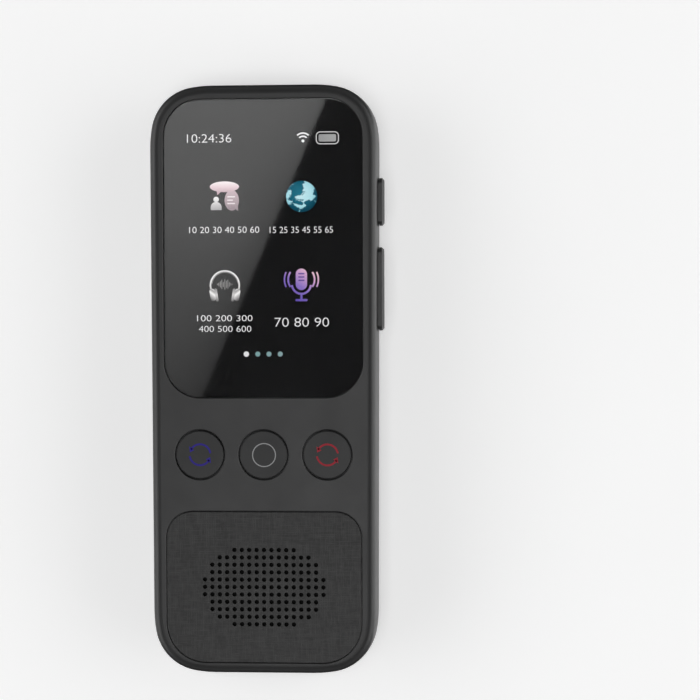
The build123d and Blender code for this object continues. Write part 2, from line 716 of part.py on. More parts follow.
with BuildPart() as charging_tongue:
    with BuildSketch(Plane(origin=(0, 62.35, 0), x_dir=(-1, 0, 0), z_dir=(0, 1, 0))):
        with Locations((0, PORT_Z)):
            SlotOverall(8.26, 2.48)
    extrude(amount=1.4)
    with BuildSketch(Plane(origin=(0, 63.5, 0), x_dir=(-1, 0, 0), z_dir=(0, 1, 0))):
        with Locations((0, PORT_Z)):
            Rectangle(6.69, 0.6)
    extrude(amount=4.9)
charging_tongue.part.label = "charging_tongue"

with BuildPart() as charging_contacts:
    with BuildSketch(Plane(origin=(0, 64.0, 0), x_dir=(-1, 0, 0), z_dir=(0, 1, 0))):
        for side in (-1, 1):
            with Locations((0, PORT_Z + side * 0.33)):
                with GridLocations(0.5, 1, 12, 1):
                    Rectangle(0.26, 0.06)
    extrude(amount=3.9)
charging_contacts.part.label = "charging_contacts"

JACK_MOUTH, JACK_END = HL - WALL - 0.35, 56.2
with BuildPart() as earphone_socket:
    with BuildSketch(Plane(origin=(0, 54.8, 0), x_dir=(-1, 0, 0), z_dir=(0, 1, 0))):
        with Locations((-JACK_X, (4.9 + 9.15) / 2)):
            RectangleRounded(6.2, 4.25, 0.4)
    extrude(amount=JACK_MOUTH - 54.8)
    with BuildSketch(Plane(origin=(0, JACK_END, 0), x_dir=(-1, 0, 0), z_dir=(0, 1, 0))):
        with Locations((-JACK_X, PORT_Z)):
            Circle(JACK_R)
    extrude(amount=20, mode=Mode.SUBTRACT)
    # windows for the contact springs
    with BuildSketch(Plane.YZ.offset(JACK_X)):
        with Locations((58.2, PORT_Z), (65.6, PORT_Z)):
            Rectangle(2.4, 1.1)
    extrude(amount=4, mode=Mode.SUBTRACT)
    with BuildSketch(Plane.YZ.offset(JACK_X)):
        with Locations((61.6, PORT_Z)):
            Rectangle(2.4, 1.1)
    extrude(amount=-4, mode=Mode.SUBTRACT)
earphone_socket.part.label = "earphone_socket"

with BuildPart() as earphone_contacts:
    for side, y in ((1, 58.2), (1, 65.6), (-1, 61.6)):
        with BuildSketch(Plane(origin=(JACK_X + side * 1.85, y, PORT_Z), x_dir=(0, 1, 0), z_dir=(side, 0, 0))):
            Rectangle(2.2, 0.9)
        extrude(amount=0.25)
        with BuildSketch(Plane(origin=(JACK_X + side * 2.1, y, PORT_Z), x_dir=(0, 1, 0), z_dir=(side, 0, 0))):
            Rectangle(0.9, 0.9)
        extrude(amount=1.2)
earphone_contacts.part.label = "earphone_contacts"

# ------------------------------------------------------------------- battery
with BuildPart() as battery_cell:
    with BuildSketch(Plane.XY.offset(1.75)):
        with Locations((0, 6.5)):
            Rectangle(36, 59)
    extrude(amount=4.0)
    fillet(battery_cell.edges().filter_by(Axis.Y), 1.7)
battery_cell.part.label = "battery_cell"

with BuildPart() as battery_tape:
    with BuildSketch(Plane.XY.offset(BACK_T)):
        with Locations((0, 6.5)):
            RectangleRounded(28, 50, 1)
    extrude(amount=0.25)
battery_tape.part.label = "battery_tape"

with BuildPart() as protection_board:
    with BuildSketch(Plane.XY.offset(3.2)):
        with Locations((0, 37.8)):
            Rectangle(30, 3.2)
    extrude(amount=0.8)
    with BuildSketch(Plane.XY.offset(4.0)):
        with Locations((-6, 37.6), (4, 37.6)):
            Rectangle(5, 2.2)
    extrude(amount=0.8)
protection_board.part.label = "protection_board"

with BuildPart() as battery_leads:
    for x in (-17.0, -15.2):
        with BuildLine() as route:
            FilletPolyline((x, 37.2, 4.45), (x, 41.0, 4.45), (x, 43.4, 7.2), (x, 45.6, 7.2), radius=1.6)
        with BuildSketch(Plane(origin=route.line @ 0, x_dir=(1, 0, 0), z_dir=(0, 1, 0))):
            Circle(0.45)
        sweep(path=route.line)
battery_leads.part.label = "battery_leads"

with BuildPart() as battery_plug:
    with BuildSketch(Plane.XY.offset(6.3)):
        with Locations((-16.1, 47.6)):
            Rectangle(5.2, 4.0)
    extrude(amount=PCB_BOT - 6.3)
battery_plug.part.label = "battery_plug"

# ------------------------------------------------------------------ front keys
SW_TOP = 10.4
with BuildPart() as key_switches:
    for x in (-BTN_X, 0, BTN_X):
        with BuildSketch(Plane.XY.offset(PCB_TOP)):
            with Locations((x, BTN_Y)):
                RectangleRounded(6, 6, 0.5)
        extrude(amount=SW_TOP - PCB_TOP)
        with BuildSketch(Plane.XY.offset(9.55)):
            with Locations((x, BTN_Y)):
                Circle(1.45)
        extrude(amount=2, mode=Mode.SUBTRACT)
key_switches.part.label = "key_switches"


def plunger_z(x):
    """Plunger of one front key's switch."""
    with BuildPart() as pl:
        with BuildSketch(Plane.XY.offset(9.95)):
            with Locations((x, BTN_Y)):
                Circle(1.3)
        extrude(amount=0.7)
    return pl.part


def key_cap(x):
    """Round key: a cap in the hole, a flange behind the face and a stem to the switch."""
    with BuildPart() as cap:
        with BuildSketch(Plane.XY.offset(11.0)):
            with Locations((x, BTN_Y)):
                Circle(BTN_D / 2)
        extrude(amount=BTN_TOP - 11.0)
        fillet(cap.edges().group_by(Axis.Z)[-1], 0.22)
        with BuildSketch(Plane.XY.offset(10.95)):
            with Locations((x, BTN_Y)):
                Circle(6.6)
        extrude(amount=0.5)
        with BuildSketch(Plane.XY.offset(10.65)):
            with Locations((x, BTN_Y)):
                Circle(1.2)
        extrude(amount=0.4)
    return cap.part


left_key, centre_key, right_key = key_cap(-BTN_X), key_cap(0), key_cap(BTN_X)
left_key.label, centre_key.label, right_key.label = "left_key", "centre_key", "right_key"
left_plunger, centre_plunger, right_plunger = plunger_z(-BTN_X), plunger_z(0), plunger_z(BTN_X)
left_plunger.label, centre_plunger.label, right_plunger.label = "left_plunger", "centre_plunger", "right_plunger"

# ------------------------------------------------------------------- side keys
KX = -KEY_IN  # the side keys' group, moved with the wall


def side_key(y, length, flange_out):
    """Side key: a bevelled cap outside the wall, a slimmer neck through it and a flange behind it."""
    cap_in = half_width(y) + 0.2
    with BuildPart() as key:
        with BuildSketch(Plane(origin=(cap_in, y, KEY_Z), x_dir=(0, 1, 0), z_dir=(1, 0, 0))):
            SlotOverall(length, KEY_H)
        extrude(amount=KEY_OUT - 0.2)
        chamfer(key.edges().group_by(Axis.X)[-1], 0.5)
        with BuildSketch(Plane(origin=(25.3 + KX, y, KEY_Z), x_dir=(0, 1, 0), z_dir=(1, 0, 0))):
            SlotOverall(length - 0.6, KEY_H - 0.6)
        extrude(amount=cap_in - 25.3 - KX)
        with BuildSketch(Plane(origin=(25.15 + KX, y, KEY_Z), x_dir=(0, 1, 0), z_dir=(1, 0, 0))):
            SlotOverall(length + 1.4, KEY_H + 0.8)
        extrude(amount=flange_out - 25.15)
    return key.part


power_key = side_key(POWER_Y, POWER_L, 25.7)
power_key.label = "power_key"
volume_key = side_key(VOL_Y, VOL_L, 25.45)
volume_key.label = "volume_key"

VOL_ARM = 6.2
SIDE_SW = [POWER_Y, VOL_Y - VOL_ARM, VOL_Y + VOL_ARM]
with BuildPart() as side_switches:
    for y in SIDE_SW:
        with BuildSketch(Plane(origin=(23.75 + KX, y, KEY_Z), x_dir=(0, 1, 0), z_dir=(1, 0, 0))):
            RectangleRounded(4.2, 2.8, 0.4)
        extrude(amount=1.0)
        with BuildSketch(Plane(origin=(24.0 + KX, y, KEY_Z), x_dir=(0, 1, 0), z_dir=(1, 0, 0))):
            Circle(0.95)
        extrude(amount=2, mode=Mode.SUBTRACT)
side_switches.part.label = "side_switches"

with BuildPart() as power_plunger:
    with BuildSketch(Plane(origin=(24.35 + KX, POWER_Y, KEY_Z), x_dir=(0, 1, 0), z_dir=(1, 0, 0))):
        Circle(0.8)
    extrude(amount=0.8)
power_plunger.part.label = "power_plunger"

with BuildPart() as volume_plungers:
    for y in SIDE_SW[1:]:
        with BuildSketch(Plane(origin=(24.35 + KX, y, KEY_Z), x_dir=(0, 1, 0), z_dir=(1, 0, 0))):
            Circle(0.8)
        extrude(amount=0.8)
volume_plungers.part.label = "volume_plungers"

with BuildPart() as side_key_flex:
    with BuildSketch(Plane(origin=(23.6 + KX, 29.0, 9.1), x_dir=(0, 1, 0), z_dir=(1, 0, 0))):
        RectangleRounded(41, 3.2, 0.5)
    extrude(amount=0.15)
side_key_flex.part.label = "side_key_flex"

with BuildPart() as side_key_bracket:
    with BuildSketch(Plane(origin=(23.2 + KX, 29.0, 9.35), x_dir=(0, 1, 0), z_dir=(1, 0, 0))):
        RectangleRounded(42.4, 4.1, 0.5)
    extrude(amount=0.4)
side_key_bracket.part.label = "side_key_bracket"

# ----------------------------------------------------------------- microphones
with BuildPart() as microphones:
    with BuildSketch(Plane.XY.offset(7.1)):
        with Locations((MIC_TOP_X, 63.6), (MIC_BOT_X, -63.9)):
            RectangleRounded(3.5, 2.65, 0.2)
    extrude(amount=1.1)
microphones.part.label = "microphones"

with BuildPart() as mic_boots:
    for x, y, out in ((MIC_TOP_X, 63.6, 1), (MIC_BOT_X, -63.9, -1)):
        with BuildSketch(Plane.XY.offset(5.9)):
            with Locations((x, y + out * 1.2)):
                Rectangle(5.1, 6.6)
        extrude(amount=2.3)
        with BuildSketch(Plane.XY.offset(7.1)):
            with Locations((x, y)):
                RectangleRounded(3.5, 2.65, 0.2)
        extrude(amount=2, mode=Mode.SUBTRACT)
        with BuildSketch(Plane.XY.offset(6.4)):
            with Locations((x, y)):
                Circle(0.5)
        extrude(amount=1, mode=Mode.SUBTRACT)
        with BuildSketch(Plane(origin=(x, y, 6.75), x_dir=(1, 0, 0), z_dir=(0, out, 0))):
            Circle(0.45)
        extrude(amount=6, mode=Mode.SUBTRACT)
mic_boots.part.label = "mic_boots"

with BuildPart() as mic_board:
    with BuildSketch(Plane.XY.offset(PCB_BOT)):
        with Locations((MIC_BOT_X, -65.0)):
            RectangleRounded(9, 5.2, 0.4)
    extrude(amount=0.8)
mic_board.part.label = "mic_board"

with BuildPart() as mic_flex:
    with BuildSketch(Plane.XY.offset(PCB_BOT - 0.12)):
        with BuildLine():
            FilletPolyline((MIC_BOT_X + 3.6, -63.9), (22.9, -61.4), (22.9, -34.5), (20.4, -32.9), (16.0, -30.4), radius=1.4)
        trace(line_width=1.6)
    extrude(amount=0.12)
mic_flex.part.label = "mic_flex"

# --------------------------------------------------------------------- antenna
with BuildPart() as antenna_strip:
    with BuildSketch(Plane(origin=(-(half_width(32) - WALL) + 0.32, 42.0, 9.8), x_dir=(0, 1, 0), z_dir=(1, 0, 0))):
        RectangleRounded(20, 3.0, 0.6)
    extrude(amount=0.15)
antenna_strip.part.label = "antenna_strip"

with BuildPart() as antenna_cable:
    with BuildLine() as route2:
        FilletPolyline((-25.15, 40.0, 7.85), (-25.15, 34.0, 7.85), (-22.6, 29.5, 7.1), (-20.6, 29.5, 7.1), radius=1.2)
    with BuildSketch(Plane(origin=route2.line @ 0, x_dir=(1, 0, 0), z_dir=(0, -1, 0))):
        Circle(0.4)
    sweep(path=route2.line)
antenna_cable.part.label = "antenna_cable"

# --------------------------------------------------------------------- screws
with BuildPart() as screws:
    for (x, y), z in [(p_, PCB_BOT) for p_ in BOSS_XY] + [(p_, 8.9) for p_ in EAR_XY]:
        with BuildSketch(Plane.XY.offset(z)):
            with Locations((x, y)):
                Circle(SCREW_R)
        extrude(amount=SCREW_LEN)
        with BuildSketch(Plane.XY.offset(z - SCREW_HEAD_H)):
            with Locations((x, y)):
                Circle(SCREW_HEAD_R)
        extrude(amount=SCREW_HEAD_H)
        with BuildSketch(Plane.XY.offset(z - SCREW_HEAD_H)):
            with Locations((x, y)):
                Rectangle(1.6, 0.35)
                Rectangle(0.35, 1.6)
        extrude(amount=0.4, mode=Mode.SUBTRACT)
screws.part.label = "screws"

# ---------------------------------------------------------------------- export
NODES = {
    "front_shell": front_shell.part,
    "rear_cover": rear_cover.part,
    "cover_glass": cover_glass.part,
    "glass_mask": glass_mask.part,
    "glass_adhesive": glass_adhesive.part,
    "touch_sensor": touch_sensor.part,
    "display_cell": display_cell.part,
    "backlight_frame": backlight_frame.part,
    "light_guide": light_guide.part,
    "display_bracket": display_bracket.part,
    "insulating_sheet": insulating_sheet.part,
    "display_flex": display_flex.part,
    "display_connector": display_connector.part,
    "speaker_panel": speaker_panel.part,
    "speaker_mesh": speaker_mesh.part,
    "speaker_gasket": speaker_gasket.part,
    "speaker_basket": speaker_basket.part,
    "speaker_yoke": speaker_yoke.part,
    "speaker_magnet": speaker_magnet.part,
    "pole_plate": pole_plate.part,
    "voice_coil": voice_coil.part,
    "speaker_cone": speaker_cone.part,
    "cone_surround": cone_surround.part,
    "speaker_leads": speaker_leads.part,
    "main_board": main_board.part,
    "shield_can": shield_can.part,
    "processor_chip": processor_chip.part,
    "memory_chip": memory_chip.part,
    "wireless_module": wireless_module.part,
    "charging_socket": charging_socket.part,
    "charging_tongue": charging_tongue.part,
    "charging_contacts": charging_contacts.part,
    "earphone_socket": earphone_socket.part,
    "earphone_contacts": earphone_contacts.part,
    "battery_cell": battery_cell.part,
    "battery_tape": battery_tape.part,
    "protection_board": protection_board.part,
    "battery_leads": battery_leads.part,
    "battery_plug": battery_plug.part,
    "key_switches": key_switches.part,
    "left_key": left_key,
    "centre_key": centre_key,
    "right_key": right_key,
    "left_plunger": left_plunger,
    "centre_plunger": centre_plunger,
    "right_plunger": right_plunger,
    "power_key": power_key,
    "volume_key": volume_key,
    "side_switches": side_switches.part,
    "power_plunger": power_plunger.part,
    "volume_plungers": volume_plungers.part,
    "side_key_flex": side_key_flex.part,
    "side_key_bracket": side_key_bracket.part,
    "microphones": microphones.part,
    "mic_boots": mic_boots.part,
    "mic_board": mic_board.part,
    "mic_flex": mic_flex.part,
    "antenna_strip": antenna_strip.part,
    "antenna_cable": antenna_cable.part,
    "screws": screws.part,
}
for name, solid in NODES.items():
    export_step(solid, f"parts/{name}.step")
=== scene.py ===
import json
import math

import bmesh
import bpy
from mathutils import Matrix, Vector


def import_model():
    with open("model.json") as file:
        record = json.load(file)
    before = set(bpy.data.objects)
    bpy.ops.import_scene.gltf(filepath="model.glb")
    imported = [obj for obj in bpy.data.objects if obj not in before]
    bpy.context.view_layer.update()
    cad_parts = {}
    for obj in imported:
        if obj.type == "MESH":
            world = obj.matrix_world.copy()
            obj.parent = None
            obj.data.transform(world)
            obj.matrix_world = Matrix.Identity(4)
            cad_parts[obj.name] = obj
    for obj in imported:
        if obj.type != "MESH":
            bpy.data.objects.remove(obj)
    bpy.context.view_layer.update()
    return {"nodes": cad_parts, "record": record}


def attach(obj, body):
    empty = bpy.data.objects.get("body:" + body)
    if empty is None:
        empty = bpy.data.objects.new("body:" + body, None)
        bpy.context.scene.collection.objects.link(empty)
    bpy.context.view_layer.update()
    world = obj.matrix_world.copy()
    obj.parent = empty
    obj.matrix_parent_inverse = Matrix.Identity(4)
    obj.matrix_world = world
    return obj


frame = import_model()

MM = 0.001
scene = bpy.context.scene
scene.view_settings.view_transform = "Standard"
scene.view_settings.look = "None"
scene.view_settings.exposure = 0.0
scene.view_settings.gamma = 1.0
NODES = frame["nodes"]
HOUSING = "housing"


# ------------------------------------------------------------------ materials
def lin(r, g, b):
    """sRGB 0-255 to linear."""
    return tuple((c / 255 / 12.92) if c <= 10.3 else ((c / 255 + 0.055) / 1.055) ** 2.4 for c in (r, g, b))


class Mat:
    """One node material: a Principled shader and small helpers for its textures. Lengths are in millimetres."""

    def __init__(self, name, rough=0.5, spec=0.5, ior=1.45, metal=0.0):
        self.m = bpy.data.materials.new(name)
        self.m.use_nodes = True
        self.t = self.m.node_tree
        self.t.nodes.clear()
        self.out = self.t.nodes.new("ShaderNodeOutputMaterial")
        self.b = self.t.nodes.new("ShaderNodeBsdfPrincipled")
        self.link(self.b.outputs[0], self.out.inputs["Surface"])
        self.b.inputs["Roughness"].default_value = rough
        self.b.inputs["Specular IOR Level"].default_value = spec
        self.b.inputs["IOR"].default_value = ior
        self.b.inputs["Metallic"].default_value = metal
        self.co = self.t.nodes.new("ShaderNodeTexCoord").outputs["Object"]
        self.last_normal = None

    def link(self, a, b):
        self.t.links.new(a, b)

    def node(self, kind, **props):
        n = self.t.nodes.new(kind)
        for k, v in props.items():
            setattr(n, k, v)
        return n

    def put(self, node, key, value):
        """A number, a colour or another node's output into an input."""
        s = node.inputs[key]
        if isinstance(value, bpy.types.NodeSocket):
            self.link(value, s)
        else:
            s.default_value = value

    def stretch(self, sx, sy, sz, turn=0.0, vector=None, move=(0, 0, 0)):
        """Coordinates in which one unit is sx, sy and sz millimetres, turned about Z."""
        n = self.node("ShaderNodeMapping", vector_type="TEXTURE")
        self.put(n, "Vector", vector or self.co)
        n.inputs["Location"].default_value = [c * MM for c in move]
        n.inputs["Rotation"].default_value = (0, 0, turn)
        n.inputs["Scale"].default_value = (sx * MM, sy * MM, sz * MM)
        return n.outputs[0]

    def noise(self, size=1.0, detail=2.0, rough=0.5, vector=None, out="Fac", distortion=0.0):
        n = self.node("ShaderNodeTexNoise")
        self.put(n, "Vector", vector or self.stretch(size, size, size))
        n.inputs["Scale"].default_value = 1.0
        n.inputs["Detail"].default_value = detail
        n.inputs["Roughness"].default_value = rough
        n.inputs["Distortion"].default_value = distortion
        return n.outputs[out]

    def wave(self, vector, axis="X", distortion=0.0, detail=0.0, profile="SIN"):
        n = self.node("ShaderNodeTexWave", wave_type="BANDS", bands_direction=axis, wave_profile=profile)
        self.put(n, "Vector", vector)
        n.inputs["Scale"].default_value = 0.31416  # one band per unit
        n.inputs["Distortion"].default_value = distortion
        n.inputs["Detail"].default_value = detail
        return n.outputs["Fac"]

    def voronoi(self, size, feature="F1", out="Distance", vector=None, randomness=1.0):
        n = self.node("ShaderNodeTexVoronoi", feature=feature)
        self.put(n, "Vector", vector or self.stretch(size, size, size))
        n.inputs["Scale"].default_value = 1.0
        n.inputs["Randomness"].default_value = randomness
        return n.outputs[out]

    def math(self, op, a, b=0.0, clamp=False):
        n = self.node("ShaderNodeMath", operation=op, use_clamp=clamp)
        self.put(n, 0, a)
        self.put(n, 1, b)
        return n.outputs[0]

    def remap(self, v, a0, a1, b0, b1, smooth=False):
        n = self.node("ShaderNodeMapRange")
        n.interpolation_type = "SMOOTHSTEP" if smooth else "LINEAR"
        self.put(n, "Value", v)
        for k, x in (("From Min", a0), ("From Max", a1), ("To Min", b0), ("To Max", b1)):
            n.inputs[k].default_value = x
        return n.outputs["Result"]

    def ramp(self, v, stops, interp="LINEAR"):
        n = self.node("ShaderNodeValToRGB")
        n.color_ramp.interpolation = interp
        e = n.color_ramp.elements
        while len(e) > 1:
            e.remove(e[-1])
        e[0].position, e[0].color = stops[0][0], (*stops[0][1], 1)
        for p, c in stops[1:]:
            x = e.new(p)
            x.color = (*c, 1)
        self.put(n, "Fac", v)
        return n.outputs["Color"]

    def mix(self, fac, a, b, blend="MIX"):
        n = self.node("ShaderNodeMix", data_type="RGBA", blend_type=blend)
        self.put(n, 0, fac)
        for k, v in ((6, a), (7, b)):
            self.put(n, k, (*v, 1) if isinstance(v, tuple) and len(v) == 3 else v)
        return n.outputs[2]

    def color(self, v):
        self.put(self.b, "Base Color", (*v, 1) if isinstance(v, tuple) and len(v) == 3 else v)

    def rough(self, v):
        self.put(self.b, "Roughness", v)

    def bump(self, height, depth, strength=1.0):
        """Height 0 to 1 stands for depth millimetres."""
        n = self.node("ShaderNodeBump")
        n.inputs["Strength"].default_value = strength
        n.inputs["Distance"].default_value = depth * MM
        self.put(n, "Height", height)
        if self.last_normal:
            self.link(self.last_normal, n.inputs["Normal"])
        self.last_normal = n.outputs["Normal"]
        for old in list(self.b.inputs["Normal"].links):
            self.t.links.remove(old)
        self.link(self.last_normal, self.b.inputs["Normal"])

    def xyz(self):
        n = self.node("ShaderNodeSeparateXYZ")
        self.link(self.co, n.inputs[0])
        return n.outputs

    def along(self, p0, p1):
        """0 at p0 and 1 at p1, two points in millimetres."""
        a, d = Vector(p0) * MM, (Vector(p1) - Vector(p0)) * MM
        s = self.node("ShaderNodeVectorMath", operation="SUBTRACT")
        self.link(self.co, s.inputs[0])
        s.inputs[1].default_value = a
        n = self.node("ShaderNodeVectorMath", operation="DOT_PRODUCT")
        self.link(s.outputs[0], n.inputs[0])
        n.inputs[1].default_value = d / d.length_squared
        return n.outputs["Value"]

    def radius(self, c):
        """Distance from a point, in millimetres."""
        n = self.node("ShaderNodeVectorMath", operation="DISTANCE")
        self.link(self.co, n.inputs[0])
        n.inputs[1].default_value = Vector(c) * MM
        return self.math("MULTIPLY", n.outputs["Value"], 1000.0)


def moulded(name, base, rough, spec=0.5, vary=0.10, grain=0.16, depth=0.006, flow=30.0, ior=1.45):
    """Moulded plastic: slow variation of tone, a fine spark-eroded grain in the surface, and rubbed and dull places in its gloss."""
    m = Mat(name, rough, spec, ior)
    slow = m.noise(flow, 3, 0.55)
    fine = m.noise(grain * 1.6, 2, 0.6)
    tone = m.math("ADD", m.math("MULTIPLY", slow, 0.6), m.math("MULTIPLY", fine, 0.4))
    lo, hi = tuple(c * (1 - vary) for c in base), tuple(c * (1 + vary) for c in base)
    m.color(m.ramp(tone, [(0.3, lo), (0.7, hi)]))
    dull = m.math("ADD", m.math("MULTIPLY", m.noise(9.0, 4, 0.6), 0.7), m.math("MULTIPLY", fine, 0.3))
    m.rough(m.remap(dull, 0.3, 0.7, rough - 0.05, rough + 0.05))
    m.bump(m.noise(grain * 3.0, 2, 0.5), depth * 0.8)
    m.bump(m.noise(grain, 3, 0.65), depth)
    return m


def housing_material(name, base, rough, spec):
    """The housing: grained dark plastic."""
    m = moulded(name, base, rough, spec, vary=0.09, grain=0.17, depth=0.005)
    return m


def metal(name, base, rough, brushed=None, size=0.4, depth=0.002):
    m = Mat(name, rough, 0.5, 1.45, 1.0)
    v = m.stretch(*brushed) if brushed else m.stretch(size, size, size)
    n = m.noise(vector=v, detail=4, rough=0.6)
    m.color(m.ramp(n, [(0.25, tuple(c * 0.86 for c in base)), (0.75, tuple(min(1, c * 1.06) for c in base))]))
    m.rough(m.remap(n, 0.2, 0.8, rough - 0.08, rough + 0.1))
    m.bump(n, depth)
    return m


def film(name, base, rough, spec=0.5, size=2.5, vary=0.2, depth=0.004):
    m = Mat(name, rough, spec)
    n = m.noise(size, 4, 0.6)
    m.color(m.ramp(n, [(0.3, tuple(c * (1 - vary) for c in base)), (0.7, tuple(min(1, c * (1 + vary)) for c in base))]))
    m.rough(m.remap(n, 0.2, 0.8, rough - 0.06, rough + 0.06))
    m.bump(n, depth)
    return m


def fabric(name, base, pitch):
    """Plain square weave of round threads, its colour darkened where the weave dips: painted shade on the threads'
    flanks and between them.
    """
    m = Mat(name, 0.8, 0.2)
    v = m.stretch(pitch, pitch, pitch)
    wx, wy = m.wave(v, "X"), m.wave(v, "Y")
    h = m.math("MAXIMUM", wx, wy)
    n = m.noise(pitch * 3, 2)
    # painted shade: where the weave's height is low the colour falls to a third of the thread's
    m.color(m.mix(m.remap(m.math("ADD", h, m.math("MULTIPLY", n, 0.4)), 0.5, 1.4, 0, 1), tuple(c * 0.3 for c in base), base))
    m.bump(h, pitch * 0.4)
    return m


def board(name):
    """Solder mask over a pattern of traces, with tinned pads."""
    m = Mat(name, 0.35, 0.5)
    trace = m.voronoi(1.4, "F1", "Distance", m.stretch(1.2, 2.0, 400), 0.9)
    edge = m.remap(m.voronoi(1.0, "DISTANCE_TO_EDGE", "Distance", m.stretch(2.4, 1.3, 400)), 0.03, 0.06, 1, 0)
    pads = m.remap(trace, 0.10, 0.12, 1, 0)
    base = m.ramp(m.noise(12, 3), [(0.3, (0.008, 0.075, 0.035)), (0.7, (0.012, 0.105, 0.05))])
    c = m.mix(edge, base, (0.03, 0.19, 0.08))
    m.color(m.mix(pads, c, (0.75, 0.68, 0.5)))
    m.put(m.b, "Metallic", pads)
    m.bump(m.math("ADD", edge, pads), 0.03)
    return m


def lit(name, stops, p0=None, p1=None, strength=1.0, grainy=0.03):
    """A lit area of the display. The light's colour runs from p0 to p1."""
    m = Mat(name, 0.4, 0.0)
    m.color((0.0, 0.0, 0.0))
    t = m.along(p0, p1) if p0 else m.noise(6.0)
    t = m.math("ADD", t, m.math("MULTIPLY", m.math("SUBTRACT", m.noise(0.25, 1), 0.5), grainy))
    m.put(m.b, "Emission Color", m.ramp(t, stops))
    m.b.inputs["Emission Strength"].default_value = strength
    return m


HOUSING_BASE = (0.0215, 0.0215, 0.0220)
KEY_BASE = (0.0205, 0.0207, 0.0212)

M = {}
M["housing_plastic"] = housing_material("housing_plastic", HOUSING_BASE, 0.42, 0.5)
M["key_plastic"] = moulded("key_plastic", KEY_BASE, 0.42, 0.4, vary=0.08, grain=0.14, depth=0.004, flow=14)
M["side_key_plastic"] = moulded("side_key_plastic", (0.0215, 0.0217, 0.0222), 0.40, 0.55, vary=0.08, grain=0.14, depth=0.003, flow=10)


def panel_material():
    """Speaker panel: moulded with a fine linen texture of short crossed threads, with a painted highlight on the raised
    threads and painted shade between them.
    """
    m = Mat("panel_plastic", 0.46, 0.5)
    th = 0.42
    v = m.stretch(th, th, th)
    wob = m.noise(1.1, 2, out="Color")
    shift = m.node("ShaderNodeVectorMath", operation="MULTIPLY_ADD")
    m.link(wob, shift.inputs[0])
    shift.inputs[1].default_value = (0.35, 0.35, 0)
    m.link(v, shift.inputs[2])
    vx, vy = m.wave(shift.outputs[0], "X"), m.wave(shift.outputs[0], "Y")
    # threads come to the surface and go under again along their length
    up_x = m.remap(m.noise(vector=m.stretch(0.42, 2.6, 5), detail=2, rough=0.5), 0.42, 0.58, 0, 1, True)
    up_y = m.remap(m.noise(vector=m.stretch(2.6, 0.42, 5, move=(7, 3, 0)), detail=2, rough=0.5), 0.42, 0.58, 0, 1, True)
    h = m.math("MAXIMUM", m.math("MULTIPLY", vx, up_x), m.math("MULTIPLY", vy, up_y))
    slow = m.noise(24.0, 3)
    fleck_x = m.noise(vector=m.stretch(3.4, 0.75, 5, move=(2, 9, 0)), detail=2, rough=0.6)
    fleck_y = m.noise(vector=m.stretch(0.75, 3.4, 5, move=(11, 4, 0)), detail=2, rough=0.6)
    fleck = m.remap(m.math("ADD", fleck_x, fleck_y), 0.7, 1.3, 0, 1)
    # the thread height h makes the colour lighter on the raised threads and darker between them: painted highlight and
    # painted shade; the slow variation and the flecks are the plastic's own tone
    tone = m.math("ADD", m.math("MULTIPLY", h, 0.28), m.math("ADD", m.math("MULTIPLY", slow, 0.28), m.math("MULTIPLY", fleck, 0.44)))
    m.color(m.ramp(tone, [(0.15, (0.0222, 0.0221, 0.0221)), (0.80, (0.0455, 0.0453, 0.0453))]))
    m.rough(m.remap(h, 0, 1, 0.58, 0.44))
    m.bump(h, 0.035)
    m.bump(m.noise(0.15, 2), 0.004)
    return m


M["panel_plastic"] = panel_material()


def glass_material():
    """Clear cover glass with the faintest film of handling on it."""
    m = Mat("cover_glass", 0.0, 0.5, 1.5)
    m.b.inputs["Transmission Weight"].default_value = 1.0
    m.color((1.0, 1.0, 1.0))
    smear = m.noise(vector=m.stretch(16, 5, 20, turn=0.6), detail=5, rough=0.62)
    m.rough(m.remap(smear, 0.45, 0.8, 0.02, 0.028))
    return m


M["cover_glass"] = glass_material()
M["mask_black"] = film("mask_black", (0.0250, 0.0250, 0.0256), 0.5, 0.0, 6.0, 0.05, 0.0)
M["display_glass"] = film("display_glass", (0.0250, 0.0250, 0.0258), 0.5, 0.0, 9.0, 0.05, 0.0)
M["adhesive"] = film("adhesive", (0.03, 0.03, 0.03), 0.7)
M["white_plastic"] = moulded("white_plastic", (0.72, 0.72, 0.70), 0.5, 0.5, 0.04)
M["steel_sheet"] = metal("steel_sheet", (0.58, 0.58, 0.57), 0.34, (0.12, 3.0, 3.0))
M["insulating_film"] = film("insulating_film", (0.03, 0.03, 0.032), 0.4)
M["flex_film"] = film("flex_film", (0.38, 0.16, 0.03), 0.3, 0.5, 0.8)
M["black_plastic"] = moulded("black_plastic", (0.012, 0.012, 0.012), 0.45)
M["mesh_fabric"] = fabric("mesh_fabric", (0.018, 0.018, 0.018), 0.16)
M["foam"] = film("foam", (0.02, 0.02, 0.02), 0.9, 0.1, 0.3, 0.5, 0.1)
M["magnet_plating"] = metal("magnet_plating", (0.66, 0.64, 0.58), 0.18)
M["copper_wire"] = metal("copper_wire", (0.80, 0.36, 0.18), 0.3, (2.0, 2.0, 0.06), depth=0.02)
M["cone_film"] = film("cone_film", (0.20, 0.20, 0.21), 0.35, 0.5, 1.2)
M["surround_rubber"] = film("surround_rubber", (0.016, 0.016, 0.016), 0.6, 0.3, 0.5)
M["red_lead"] = film("red_lead", (0.38, 0.012, 0.010), 0.35, 0.5, 1.5)
M["circuit_board"] = board("circuit_board")
M["chip_epoxy"] = moulded("chip_epoxy", (0.014, 0.014, 0.015), 0.55, grain=0.06)
M["gold_contact"] = metal("gold_contact", (0.90, 0.62, 0.25), 0.22)
M["battery_pouch"] = metal("battery_pouch", (0.70, 0.71, 0.72), 0.38, None, 1.2, 0.02)
M["plug_plastic"] = moulded("plug_plastic", (0.70, 0.68, 0.62), 0.45, vary=0.05)
M["switch_body"] = metal("switch_body", (0.60, 0.60, 0.59), 0.35)
